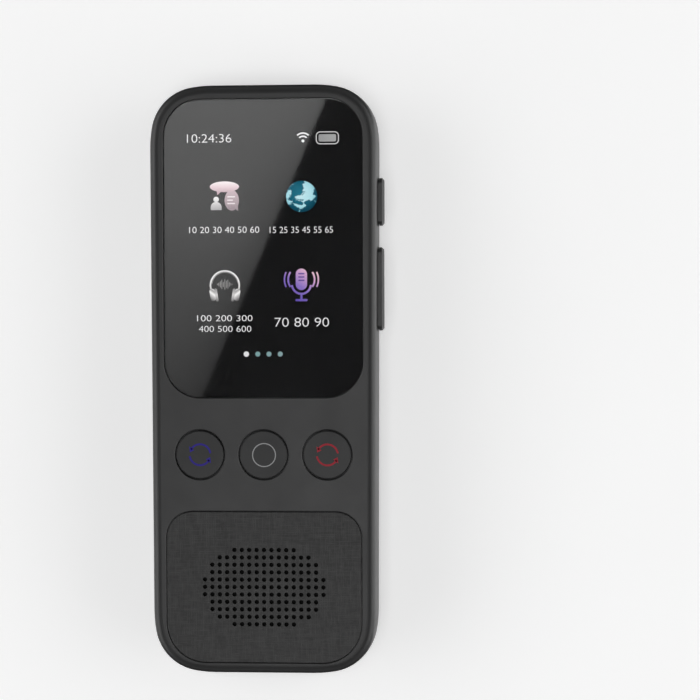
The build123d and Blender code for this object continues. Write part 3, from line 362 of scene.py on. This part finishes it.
M["switch_plunger"] = moulded("switch_plunger", (0.015, 0.015, 0.015), 0.35)
M["cable_jacket"] = film("cable_jacket", (0.015, 0.015, 0.015), 0.5)
M["screw_steel"] = metal("screw_steel", (0.34, 0.34, 0.35), 0.32)

SLOT = {s["node"]: s["material_slot"] for s in frame["record"]["subparts"]}
for node_name, obj in NODES.items():
    mat = M[SLOT[node_name]].m
    if not obj.material_slots:
        obj.data.materials.append(mat)
    for s in obj.material_slots:
        s.material = mat


# --------------------------------------------------------------------- shapes
def arc_points(cx, cy, rx, ry, a0, a1, n):
    return [(cx + rx * math.cos(a), cy + ry * math.sin(a)) for a in (math.radians(a0 + (a1 - a0) * i / n) for i in range(n + 1))]


def disc(cx, cy, rx, ry=None, n=64):
    return [(arc_points(cx, cy, rx, ry or rx, 0, 360, n)[:-1], [list(range(n))])]


def rounded(cx, cy, w, h, r, n=10):
    r = min(r, w / 2, h / 2)
    pts = []
    for k, (sx, sy) in enumerate(((1, 1), (-1, 1), (-1, -1), (1, -1))):
        pts += arc_points(cx + sx * (w / 2 - r), cy + sy * (h / 2 - r), r, r, 90 * k, 90 * k + 90, n)
    return [(pts, [list(range(len(pts)))])]


def band(outer, inner, closed=True):
    """Strip between two lines with the same number of points."""
    n = len(outer)
    pts = list(outer) + list(inner)
    faces = [[i, (i + 1) % n, n + (i + 1) % n, n + i] for i in range(n if closed else n - 1)]
    return [(pts, faces)]


def arc_band(cx, cy, r, w, a0, a1, n=48):
    """Part of a ring, r to its middle and w wide, with square ends."""
    return band(arc_points(cx, cy, r + w / 2, r + w / 2, a0, a1, n), arc_points(cx, cy, r - w / 2, r - w / 2, a0, a1, n), False)


def ring(cx, cy, r, w, n=96):
    return band(arc_points(cx, cy, r + w / 2, r + w / 2, 0, 360, n)[:-1], arc_points(cx, cy, r - w / 2, r - w / 2, 0, 360, n)[:-1])


def rounded_ring(cx, cy, w, h, r, t):
    return band(rounded(cx, cy, w, h, r)[0][0], rounded(cx, cy, w - 2 * t, h - 2 * t, max(r - t, 0.05))[0][0])


def poly(pts):
    return [(pts, [list(range(len(pts)))])]


def slab(name, shapes, z0, z1, mat, body):
    """A thin solid over flat shapes, from z0 to z1, in millimetres."""
    bm = bmesh.new()
    for pts, faces in shapes:
        vs = [bm.verts.new((x * MM, y * MM, z1 * MM)) for x, y in pts]
        fs = [bm.faces.new([vs[i] for i in f]) for f in faces]
        bm.normal_update()
        for f in fs:
            if f.normal.z < 0:
                f.normal_flip()
        low = {v: bm.verts.new((v.co.x, v.co.y, z0 * MM)) for v in vs}
        for f in fs:
            bm.faces.new([low[v] for v in reversed(f.verts)])
        for e in [e for e in bm.edges if len(e.link_faces) == 1 and e.verts[0] in low and e.verts[1] in low]:
            f = e.link_faces[0]
            loop = next(lp for lp in f.loops if lp.edge == e)
            a, b = loop.vert, loop.link_loop_next.vert
            bm.faces.new([b, a, low[a], low[b]])
    me = bpy.data.meshes.new(name)
    bm.to_mesh(me)
    bm.free()
    me.materials.append(mat.m if isinstance(mat, Mat) else mat)
    o = bpy.data.objects.new(name, me)
    scene.collection.objects.link(o)
    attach(o, body)
    return o


def place(shapes, dx, dy, s=1.0, turn=0.0):
    c, n = math.cos(math.radians(turn)), math.sin(math.radians(turn))
    return [([(dx + s * (x * c - y * n), dy + s * (x * n + y * c)) for x, y in pts], faces) for pts, faces in shapes]


# -------------------------------------------------------------------- display
UI0, UI1 = 12.095, 12.12  # the picture lies between the display and the glass
UI2 = 12.135  # what lies over another part of the picture

white = lit("ui_white", [(0.0, lin(226, 227, 228)), (1.0, lin(240, 240, 240))], (0, 0, 12), (0, 60, 12))
soft_white = lit("ui_label", [(0.0, lin(196, 197, 199)), (1.0, lin(214, 214, 214))], (0, 0, 12), (0, 60, 12))
grey_fill = lit("ui_fill", [(0.0, lin(150, 151, 152)), (1.0, lin(170, 170, 170))], (12, 57, 12), (18, 58, 12))
dim_dot = lit("ui_dot", [(0.0, lin(120, 158, 158)), (1.0, lin(134, 160, 162))], (-3, 6, 12), (5, 6, 12))


def digits(name, text, x0, x1, y0, y1, mat, thin=-0.012):
    """Plain numbers between x0 and x1, standing on y0, as a solid."""
    cu = bpy.data.curves.new(name + "_curve", "FONT")
    cu.body = text
    cu.size = 1.0
    cu.offset = thin
    cu.resolution_u = 6
    tmp = bpy.data.objects.new(name + "_tmp", cu)
    scene.collection.objects.link(tmp)
    bpy.context.view_layer.update()
    me = bpy.data.meshes.new_from_object(tmp)
    bpy.data.objects.remove(tmp)
    bpy.data.curves.remove(cu)
    xs, ys = [v.co.x for v in me.vertices], [v.co.y for v in me.vertices]
    sx, sy = (x1 - x0) / (max(xs) - min(xs)), (y1 - y0) / (max(ys) - min(ys))
    ox, oy = min(xs), min(ys)
    shapes = [([(x0 + (v.co.x - ox) * sx, y0 + (v.co.y - oy) * sy) for v in me.vertices], [list(p.vertices) for p in me.polygons])]
    bpy.data.meshes.remove(me)
    return slab(name, shapes, UI0, UI1, mat, HOUSING)


digits("ui_clock", "10:24:36", -18.15, -7.5, 56.55, 58.55, white)

# signal: a dot with two arcs over it
WX, WY = 9.62, 56.62
slab("ui_signal", disc(WX, WY + 0.12, 0.36, n=32) + arc_band(WX, WY, 1.22, 0.36, 44, 136, 24) + arc_band(WX, WY, 1.98, 0.36, 46, 134, 28), UI0, UI1, white, HOUSING)
slab("ui_charge_outline", rounded_ring(15.45, 57.42, 5.5, 3.05, 1.05, 0.22), UI0, UI1, soft_white, HOUSING)
slab("ui_charge_fill", rounded(15.45, 57.42, 4.15, 1.75, 0.35), UI0, UI1, grey_fill, HOUSING)

# page dots
for i, x in enumerate((-4.1, -1.36, 1.32, 4.02)):
    slab(f"ui_dot_{i + 1}", disc(x, 6.1, 0.64 if i == 0 else 0.6, n=40), UI0, UI1, white if i == 0 else dim_dot, HOUSING)


# captions: plain numbers
digits("ui_label_1", "10 20 30 40 50 60", -17.7, -0.9, 35.0, 36.5, white, -0.008)
digits("ui_label_2", "15 25 35 45 55 65", 1.6, 16.7, 34.9, 36.4, white, -0.008)
digits("ui_label_3a", "100 200 300", -15.9, -2.6, 13.95, 15.4, white, -0.008)
digits("ui_label_3b", "400 500 600", -15.5, -2.9, 11.4, 12.85, white, -0.008)
digits("ui_label_4", "70 80 90", 2.7, 15.7, 12.6, 14.75, white)

# icon 1: two speech bubbles and a figure
BX, BY = -9.2, 43.7
pink = lit("ui_bubble", [(0.0, lin(196, 168, 176)), (0.55, lin(232, 208, 214)), (1.0, lin(248, 236, 238))], (0, BY + 0.9, 12), (0, BY + 3.2, 12))
pink_low = lit("ui_bubble_low", [(0.0, lin(150, 134, 141)), (1.0, lin(206, 184, 191))], (0, BY - 3.2, 12), (0, BY + 1.6, 12))
figure = lit("ui_figure", [(0.0, lin(170, 168, 169)), (1.0, lin(244, 242, 242))], (0, BY - 3.2, 12), (0, BY - 0.2, 12))
line_mat = lit("ui_bubble_line", [(0.0, lin(232, 222, 226)), (1.0, lin(246, 240, 242))], (0, BY - 2, 12), (0, BY + 1, 12))
slab("ui_bubble_right", disc(BX + 1.75, BY - 0.95, 1.72, 2.45, n=48) + poly([(BX + 2.4, BY - 2.9), (BX + 3.2, BY - 2.1), (BX + 3.3, BY - 3.5)]), UI0, UI1, pink_low, HOUSING)
slab("ui_bubble_top", disc(BX, BY + 2.3, 3.5, 1.28, n=64) + poly([(BX - 1.9, BY + 1.45), (BX - 0.7, BY + 1.2), (BX - 1.7, BY + 0.3)]), UI0, UI2, pink, HOUSING)
slab("ui_bubble_lines", rounded(BX + 1.6, BY - 0.1, 1.9, 0.3, 0.15, 4) + rounded(BX + 1.35, BY - 0.9, 1.4, 0.3, 0.15, 4) + rounded(BX + 1.6, BY - 1.7, 1.9, 0.3, 0.15, 4), UI1, UI2, line_mat, HOUSING)
shoulders = [(BX - 3.3, BY - 3.25)] + arc_points(BX - 2.0, BY - 2.55, 1.3, 1.25, 180, 0, 20) + [(BX - 0.7, BY - 3.25)]
slab("ui_figure", disc(BX - 2.0, BY - 0.72, 0.66, n=32) + poly(shoulders[::-1]), UI0, UI2, figure, HOUSING)

# icon 2: a globe
GX, GY, GR = 9.26, 43.56, 3.72


def globe_material():
    m = Mat("ui_globe", 0.4, 0.0)
    m.color((0.0, 0.0, 0.0))
    r = m.radius((GX - 0.4, GY + 0.6, 12.1))
    sea = m.ramp(m.remap(r, 0, 4.3, 0, 1), [(0.0, lin(40, 118, 140)), (0.6, lin(28, 96, 116)), (1.0, lin(14, 62, 80))])
    land_n = m.noise(vector=m.stretch(3.1, 2.7, 50, move=(3.4, 5.2, 0)), detail=3.5, rough=0.55, distortion=0.5)
    land = m.remap(land_n, 0.515, 0.545, 0, 1)
    shore = m.ramp(m.remap(r, 0, 4.3, 0, 1), [(0.0, lin(206, 240, 246)), (0.7, lin(172, 224, 234)), (1.0, lin(96, 168, 184))])
    m.put(m.b, "Emission Color", m.mix(land, sea, shore))
    m.b.inputs["Emission Strength"].default_value = 1.0
    return m.m


slab("ui_globe", disc(GX, GY, GR, n=96), UI0, UI1, globe_material(), HOUSING)

# icon 3: headphones with a sound trace
HX, HY = -9.19, 22.6
phones = lit("ui_phones", [(0.0, lin(120, 118, 118)), (0.35, lin(206, 204, 203)), (0.7, lin(240, 239, 238)), (1.0, lin(226, 225, 225))], (0, HY - 3.9, 12), (0, HY + 3.6, 12))
trace_mat = lit("ui_trace", [(0.0, lin(158, 157, 156)), (1.0, lin(128, 127, 126))], (HX - 2, HY, 12), (HX + 2, HY, 12))
slab("ui_phones_band", arc_band(HX, HY - 0.1, 3.45, 0.38, -14, 194, 56), UI0, UI1, phones, HOUSING)
slab("ui_phones_band_shade", arc_band(HX, HY - 0.1, 3.12, 0.16, 8, 172, 48), UI0, UI1, trace_mat, HOUSING)
for side, tag in ((-1, "left"), (1, "right")):
    cup_x = HX + side * 2.95
    cup_mat = lit(f"ui_phones_cup_{tag}", [(0.0, lin(96, 95, 95)), (0.3, lin(186, 184, 184)), (0.55, lin(248, 247, 246)), (0.8, lin(150, 148, 148)), (1.0, lin(226, 225, 224))], (cup_x + side * 0.75, HY - 3.1, 12), (cup_x - side * 0.55, HY - 1.2, 12))
    slab(f"ui_phones_cup_{tag}", place(rounded(0, 0, 1.25, 2.9, 0.55), cup_x, HY - 2.35, turn=-side * 9), UI0, UI1, cup_mat, HOUSING)
    pad_mat = lit(f"ui_phones_pad_{tag}", [(0.0, lin(92, 90, 90)), (0.5, lin(208, 206, 206)), (1.0, lin(132, 130, 130))], (HX + side * 2.02, HY - 3.9, 12), (HX + side * 2.02, HY - 0.9, 12))
    slab(f"ui_phones_pad_{tag}", place(rounded(0, 0, 0.62, 3.2, 0.3), HX + side * 2.02, HY - 2.4, turn=-side * 9), UI0, UI2, pad_mat, HOUSING)
bars = []
for i, h in enumerate((0.35, 0.9, 1.5, 2.3, 1.2, 2.6, 1.7, 2.2, 1.1, 0.6, 0.3)):
    bars += rounded(HX + (i - 5) * 0.36, HY + 0.15, 0.17, h, 0.08, 4)
slab("ui_trace", bars, UI0, UI1, trace_mat, HOUSING)

# icon 4: a microphone with sound arcs
VX, VY = 9.14, 22.52
violet = lit("ui_mic", [(0.0, lin(84, 70, 168)), (0.45, lin(140, 116, 196)), (0.8, lin(208, 164, 204)), (1.0, lin(236, 200, 208))], (VX - 2.4, VY - 3.6, 12), (VX + 2.4, VY + 3.6, 12))
violet_dark = lit("ui_mic_dark", [(0.0, lin(48, 38, 112)), (1.0, lin(118, 92, 164))], (VX - 2.4, VY - 3.6, 12), (VX + 2.4, VY + 3.6, 12))
slab("ui_mic_head", rounded(VX, VY + 1.35, 2.7, 5.1, 1.35, 16), UI0, UI1, violet, HOUSING)
slab("ui_mic_slots", rounded(VX, VY + 1.9, 1.5, 0.34, 0.17, 6) + rounded(VX, VY + 1.1, 1.5, 0.34, 0.17, 6) + rounded(VX, VY + 2.7, 1.5, 0.34, 0.17, 6), UI1, UI2, violet_dark, HOUSING)
slab("ui_mic_stand", arc_band(VX, VY + 0.15, 2.25, 0.5, 184, 356, 40) + rounded(VX, VY - 2.85, 0.5, 1.3, 0.1, 4) + rounded(VX, VY - 3.6, 2.9, 0.55, 0.27, 8), UI0, UI1, violet, HOUSING)
slab("ui_mic_waves", arc_band(VX, VY + 1.3, 3.15, 0.42, -34, 34, 20) + arc_band(VX, VY + 1.3, 3.15, 0.42, 146, 214, 20) + arc_band(VX, VY + 1.3, 4.05, 0.36, -26, 26, 20) + arc_band(VX, VY + 1.3, 4.05, 0.36, 154, 206, 20), UI0, UI1, violet, HOUSING)


# ----------------------------------------------------------------- key prints
def ink(name, base, vary=0.12):
    """Printed ink: slightly uneven, a little glossier than the key under it."""
    m = Mat(name, 0.45, 0.2)
    n = m.noise(0.35, 3, 0.6)
    m.color(m.ramp(n, [(0.3, tuple(c * (1 - vary) for c in base)), (0.7, tuple(min(1.0, c * (1 + vary)) for c in base))]))
    m.rough(m.remap(n, 0.3, 0.7, 0.4, 0.54))
    m.bump(n, 0.003)
    return m.m


BLUE = ink("ink_blue", lin(48, 36, 140))
RED = ink("ink_red", lin(160, 38, 52))
GREY = ink("ink_grey", lin(166, 167, 168))
KEY_Y, KEY_TOP = -17.9, 12.95
INK0, INK1 = KEY_TOP - 0.002, KEY_TOP + 0.012


def turn_mark(cx, cy):
    """Two arcs that chase each other round, each with an arrowhead."""
    shapes = []
    for start in (0.0, 180.0):
        a_end = start + 154.0
        shapes += arc_band(cx, cy, 2.5, 0.44, start + 8, a_end - 4, 40)
        a = math.radians(a_end)
        tip, base_a = math.radians(a_end + 13), math.radians(a_end - 12)
        r = 2.5
        shapes += poly([
            (cx + (r + 0.8) * math.cos(base_a), cy + (r + 0.8) * math.sin(base_a)),
            (cx + r * math.cos(tip), cy + r * math.sin(tip)),
            (cx + (r - 0.72) * math.cos(base_a), cy + (r - 0.72) * math.sin(base_a)),
        ])
    return shapes


slab("print_left", turn_mark(-15.25, KEY_Y), INK0, INK1, BLUE, "left_key_set")
slab("print_centre", ring(0.1, KEY_Y - 0.06, 2.74, 0.22), INK0, INK1, GREY, "centre_key_set")
slab("print_right", turn_mark(15.25, KEY_Y), INK0, INK1, RED, "right_key_set")


# --------------------------------------------------------------------- camera
def photo_camera():
    psi, th, ro = -0.0685, 0.0163, 0.0033
    ry = Matrix(((math.cos(psi), 0, math.sin(psi)), (0, 1, 0), (-math.sin(psi), 0, math.cos(psi))))
    rx = Matrix(((1, 0, 0), (0, math.cos(th), -math.sin(th)), (0, math.sin(th), math.cos(th))))
    rz = Matrix(((math.cos(ro), -math.sin(ro), 0), (math.sin(ro), math.cos(ro), 0), (0, 0, 1)))
    rot = rz @ rx @ ry
    t = Vector((-19.7597, -6.8644, -489.1445))
    cam = bpy.data.cameras.new("camera")
    cam.type = "PERSP"
    cam.sensor_fit = "HORIZONTAL"
    cam.sensor_width = 36.0
    cam.lens = 2000.0 / 700.0 * 36.0
    cam.clip_start, cam.clip_end = 0.01, 200.0
    o = bpy.data.objects.new("camera", cam)
    scene.collection.objects.link(o)
    inv = rot.transposed()
    o.matrix_world = Matrix.Translation(-(inv @ t) * MM) @ inv.to_4x4()
    scene.camera = o
    return o


photo_camera()


# ---------------------------------------------------------------------- stage
def floor():
    """White table that runs to the horizon. Far from the lamps it glows a little more, so it stays as pale as it is near them."""
    me = bpy.data.meshes.new("floor")
    s = 6.0
    bm = bmesh.new()
    vs = [bm.verts.new(p) for p in ((-s, -s, 0), (s, -s, 0), (s, s, 0), (-s, s, 0))]
    bm.faces.new(vs)
    bm.to_mesh(me)
    bm.free()
    m = Mat("floor", 1.0, 0.0)
    n = m.noise(60, 3)
    m.color(m.ramp(n, [(0.3, (0.86, 0.86, 0.86)), (0.7, (0.88, 0.88, 0.88))]))
    m.b.inputs["Emission Color"].default_value = (1, 1, 1, 1)
    m.put(m.b, "Emission Strength", m.remap(m.radius((0, 0, 0)), 400.0, 5000.0, FLOOR_NEAR, FLOOR_FAR, True))
    me.materials.append(m.m)
    o = bpy.data.objects.new("floor", me)
    o.location = (0, 0, -0.00003)
    scene.collection.objects.link(o)


FLOOR_NEAR, FLOOR_FAR = 0.38, 0.50
floor()


def backdrop():
    """The white wall far behind the table, which the camera sees in place of the lamps' surroundings."""
    me = bpy.data.meshes.new("backdrop")
    bm = bmesh.new()
    n, r = 128, 5.0
    rows = []
    for z in (-0.05, 0.5, 1.2, 2.0, 3.0, 4.0):
        k = math.cos(math.radians(70) * max(z, 0) / 4.0)
        rows.append([bm.verts.new((r * k * math.cos(2 * math.pi * i / n), r * k * math.sin(2 * math.pi * i / n), z)) for i in range(n)])
    for lo, hi in zip(rows, rows[1:]):
        for i in range(n):
            bm.faces.new((lo[i], lo[(i + 1) % n], hi[(i + 1) % n], hi[i]))
    bm.faces.new(rows[-1])
    bm.to_mesh(me)
    bm.free()
    m = Mat("backdrop", 1.0, 0.0)
    m.color((0.0, 0.0, 0.0))
    z = m.xyz()[2]
    m.b.inputs["Emission Strength"].default_value = 1.0
    m.put(m.b, "Emission Color", m.ramp(m.math("MULTIPLY", z, 0.5), [(0.0, (WALL_L, WALL_L, WALL_L)), (0.25, (0.80, 0.80, 0.80)), (1.0, (0.70, 0.70, 0.70))]))
    me.materials.append(m.m)
    o = bpy.data.objects.new("backdrop", me)
    scene.collection.objects.link(o)
    o.visible_diffuse = o.visible_glossy = o.visible_transmission = o.visible_shadow = False


WALL_L = 0.86
backdrop()


def world():
    """Soft light from low down on both long sides, stronger from the side keys' side, and next to none from the ends or from above."""
    w = bpy.data.worlds.new("studio")
    scene.world = w
    w.use_nodes = True
    t = w.node_tree
    t.nodes.clear()
    out = t.nodes.new("ShaderNodeOutputWorld")
    bg = t.nodes.new("ShaderNodeBackground")
    tc = t.nodes.new("ShaderNodeTexCoord")
    sep = t.nodes.new("ShaderNodeSeparateXYZ")
    t.links.new(tc.outputs["Generated"], sep.inputs[0])

    def ramp(v, stops):
        n = t.nodes.new("ShaderNodeValToRGB")
        n.color_ramp.interpolation = "EASE"
        t.links.new(v, n.inputs["Fac"])
        e = n.color_ramp.elements
        e[0].position, e[0].color = stops[0][0], (*[stops[0][1]] * 3, 1)
        e[1].position, e[1].color = stops[-1][0], (*[stops[-1][1]] * 3, 1)
        for p, v in stops[1:-1]:
            x = e.new(p)
            x.color = (v, v, v, 1)
        return n.outputs["Color"]

    def op(kind, a, b):
        n = t.nodes.new("ShaderNodeMath")
        n.operation = kind
        for i, v in enumerate((a, b)):
            if isinstance(v, bpy.types.NodeSocket):
                t.links.new(v, n.inputs[i])
            else:
                n.inputs[i].default_value = v
        return n.outputs[0]

    across = op("ADD", op("MULTIPLY", sep.outputs["X"], 0.5), 0.5)  # 0 on the left, 1 on the right
    side = ramp(across, [(0.0, BAND_LEFT / 4), (0.04, BAND_LEFT / 4), (0.20, BAND_ENDS / 4), (0.80, BAND_ENDS / 4), (0.96, BAND_RIGHT / 4), (1.0, BAND_RIGHT / 4)])
    height = ramp(sep.outputs["Z"], [(0.0, 0.22), (0.065, 0.22), (0.15, 1.08), (0.24, 1.06), (0.48, 0.57), (0.66, 0.10), (0.80, 0.02), (1.0, 0.02)])
    t.links.new(op("MULTIPLY", op("MULTIPLY", side, height), 4.0), bg.inputs["Strength"])
    bg.inputs["Color"].default_value = (1, 1, 1, 1)
    t.links.new(bg.outputs[0], out.inputs["Surface"])


BAND_LEFT, BAND_ENDS, BAND_RIGHT = 3.45, 0.4, 3.45
world()


def softbox(name, loc, target, w, h, power_l):
    """Rectangular area light of a given radiance."""
    li = bpy.data.lights.new(name, "AREA")
    li.shape = "RECTANGLE"
    li.size, li.size_y = w, h
    li.energy = power_l * w * h * math.pi
    o = bpy.data.objects.new(name, li)
    d = Vector(target) - Vector(loc)
    o.rotation_mode = "QUATERNION"
    o.rotation_quaternion = d.to_track_quat("-Z", "Y")
    o.location = loc
    scene.collection.objects.link(o)
    o.visible_camera = False
    return o


HIGH = 2.4  # height of the overhead lamps
LENS = (0.053204, 0.014771)  # the point of the floor under the camera


def up(x, y):
    """A place at 0.8 m, carried up to the lamps' height so that it lies at the same place in the glass's reflection."""
    k = 2.2694
    return LENS[0] + (x - LENS[0]) * k, LENS[1] + (y - LENS[1]) * k


def overhead(name, x0, x1, y0, y1, power_l):
    (ax, ay), (bx, by) = up(x0, y0), up(x1, y1)
    mx, my = (ax + bx) / 2, (ay + by) / 2
    return softbox(name, (mx, my, HIGH), (mx, my, 0.0), bx - ax, by - ay, power_l)


def sheet_object(name, pts, z, mat):
    me = bpy.data.meshes.new(name)
    bm = bmesh.new()
    bm.faces.new([bm.verts.new((x, y, z)) for x, y in pts])
    bm.to_mesh(me)
    bm.free()
    me.materials.append(mat)
    o = bpy.data.objects.new(name, me)
    scene.collection.objects.link(o)
    o.visible_camera = False
    return o


def card():
    """Frosted panel overhead: its straight edge crosses the glass as a diagonal reflection, and it dims towards that edge and towards its foot."""
    a, b = Vector((-0.0481, 0.1527)), Vector((-0.1275, -0.0357))
    d = (b - a).normalized()
    top, bottom = a + d * ((0.175 - a.y) / d.y), a + d * ((-0.055 - a.y) / d.y)
    pts = [up(*p) for p in ((top.x, top.y), (bottom.x, bottom.y), (-0.27, -0.055), (-0.27, 0.175))]
    a = Vector(up(*a))
    n = Vector((d.y, -d.x))
    m = bpy.data.materials.new("card")
    m.use_nodes = True
    t = m.node_tree
    t.nodes.clear()
    out = t.nodes.new("ShaderNodeOutputMaterial")
    em = t.nodes.new("ShaderNodeEmission")
    tc = t.nodes.new("ShaderNodeTexCoord")

    def dot(axis):
        sub = t.nodes.new("ShaderNodeVectorMath")
        sub.operation = "SUBTRACT"
        t.links.new(tc.outputs["Object"], sub.inputs[0])
        sub.inputs[1].default_value = (a.x, a.y, 0)
        o = t.nodes.new("ShaderNodeVectorMath")
        o.operation = "DOT_PRODUCT"
        t.links.new(sub.outputs[0], o.inputs[0])
        o.inputs[1].default_value = (axis.x, axis.y, 0)
        return o.outputs["Value"]

    def op(kind, x, y=0.0, clamp=False):
        o = t.nodes.new("ShaderNodeMath")
        o.operation = kind
        o.use_clamp = clamp
        for i, v in enumerate((x, y)):
            if isinstance(v, bpy.types.NodeSocket):
                t.links.new(v, o.inputs[i])
            else:
                o.inputs[i].default_value = v
        return o.outputs[0]

    k = 2.2694
    down = dot(d)  # metres along the edge, from its top
    away = op("ABSOLUTE", dot(n))  # metres from the edge
    edge = op("MULTIPLY", op("EXPONENT", op("MULTIPLY", down, -1 / (0.150 * k))), CARD_L)
    gain = op("ADD", op("MULTIPLY", down, 1 / (0.140 * k)), 0.25, True)
    rise = op("SUBTRACT", 1.0, op("EXPONENT", op("MULTIPLY", away, -1 / (0.020 * k))))
    t.links.new(op("MULTIPLY", edge, op("ADD", op("MULTIPLY", gain, rise), 1.0)), em.inputs["Strength"])
    em.inputs["Color"].default_value = (1, 1, 1, 1)
    t.links.new(em.outputs[0], out.inputs["Surface"])
    sheet_object("card", pts, HIGH, m)


def flag(name, x0, x1, y0, y1, z):
    """Black cloth beside the object: it takes the pale floor out of the reflections in the two ends, and nothing else."""
    m = Mat(name, 0.9, 0.0)
    m.color((0.004, 0.004, 0.004))
    o = sheet_object(name, [(x0, y0), (x1, y0), (x1, y1), (x0, y1)], z, m.m)
    o.visible_diffuse = o.visible_transmission = o.visible_shadow = False


def bounce(name, x0, x1, y0, y1, z, stops):
    """Lit card low beside a long wall, seen only in the wall's sheen: brighter further out."""
    m = Mat(name, 1.0, 0.0)
    m.color((0.0, 0.0, 0.0))
    m.b.inputs["Emission Strength"].default_value = 1.0
    m.put(m.b, "Emission Color", m.ramp(m.along((x0 * 1000, 0, 0), (x1 * 1000, 0, 0)), [(p, (v, v, v)) for p, v in stops]))
    xs = sorted((x0, x1))
    o = sheet_object(name, [(xs[0], y0), (xs[1], y0), (xs[1], y1), (xs[0], y1)], z, m.m)
    o.visible_diffuse = o.visible_transmission = o.visible_shadow = False


CARD_L = 1.12
card()
OVER = 3.0
overhead("over_right", -0.012, 0.21, -0.50, 0.32, OVER)
overhead("over_low", -0.27, -0.012, -0.50, -0.055, OVER)
overhead("over_top", -0.27, -0.012, 0.175, 0.32, OVER)
flag("flag_top", -0.10, 0.10, 0.0720, 0.20, 0.0008)
flag("flag_bottom", -0.10, 0.10, -0.20, -0.0720, 0.0008)
bounce("bounce_right", 0.0290, 0.16, -0.068, 0.068, 0.0006, [(0.0, 0.5), (0.06, 1.5), (0.16, 3.2), (1.0, 3.2)])

bpy.context.view_layer.update()
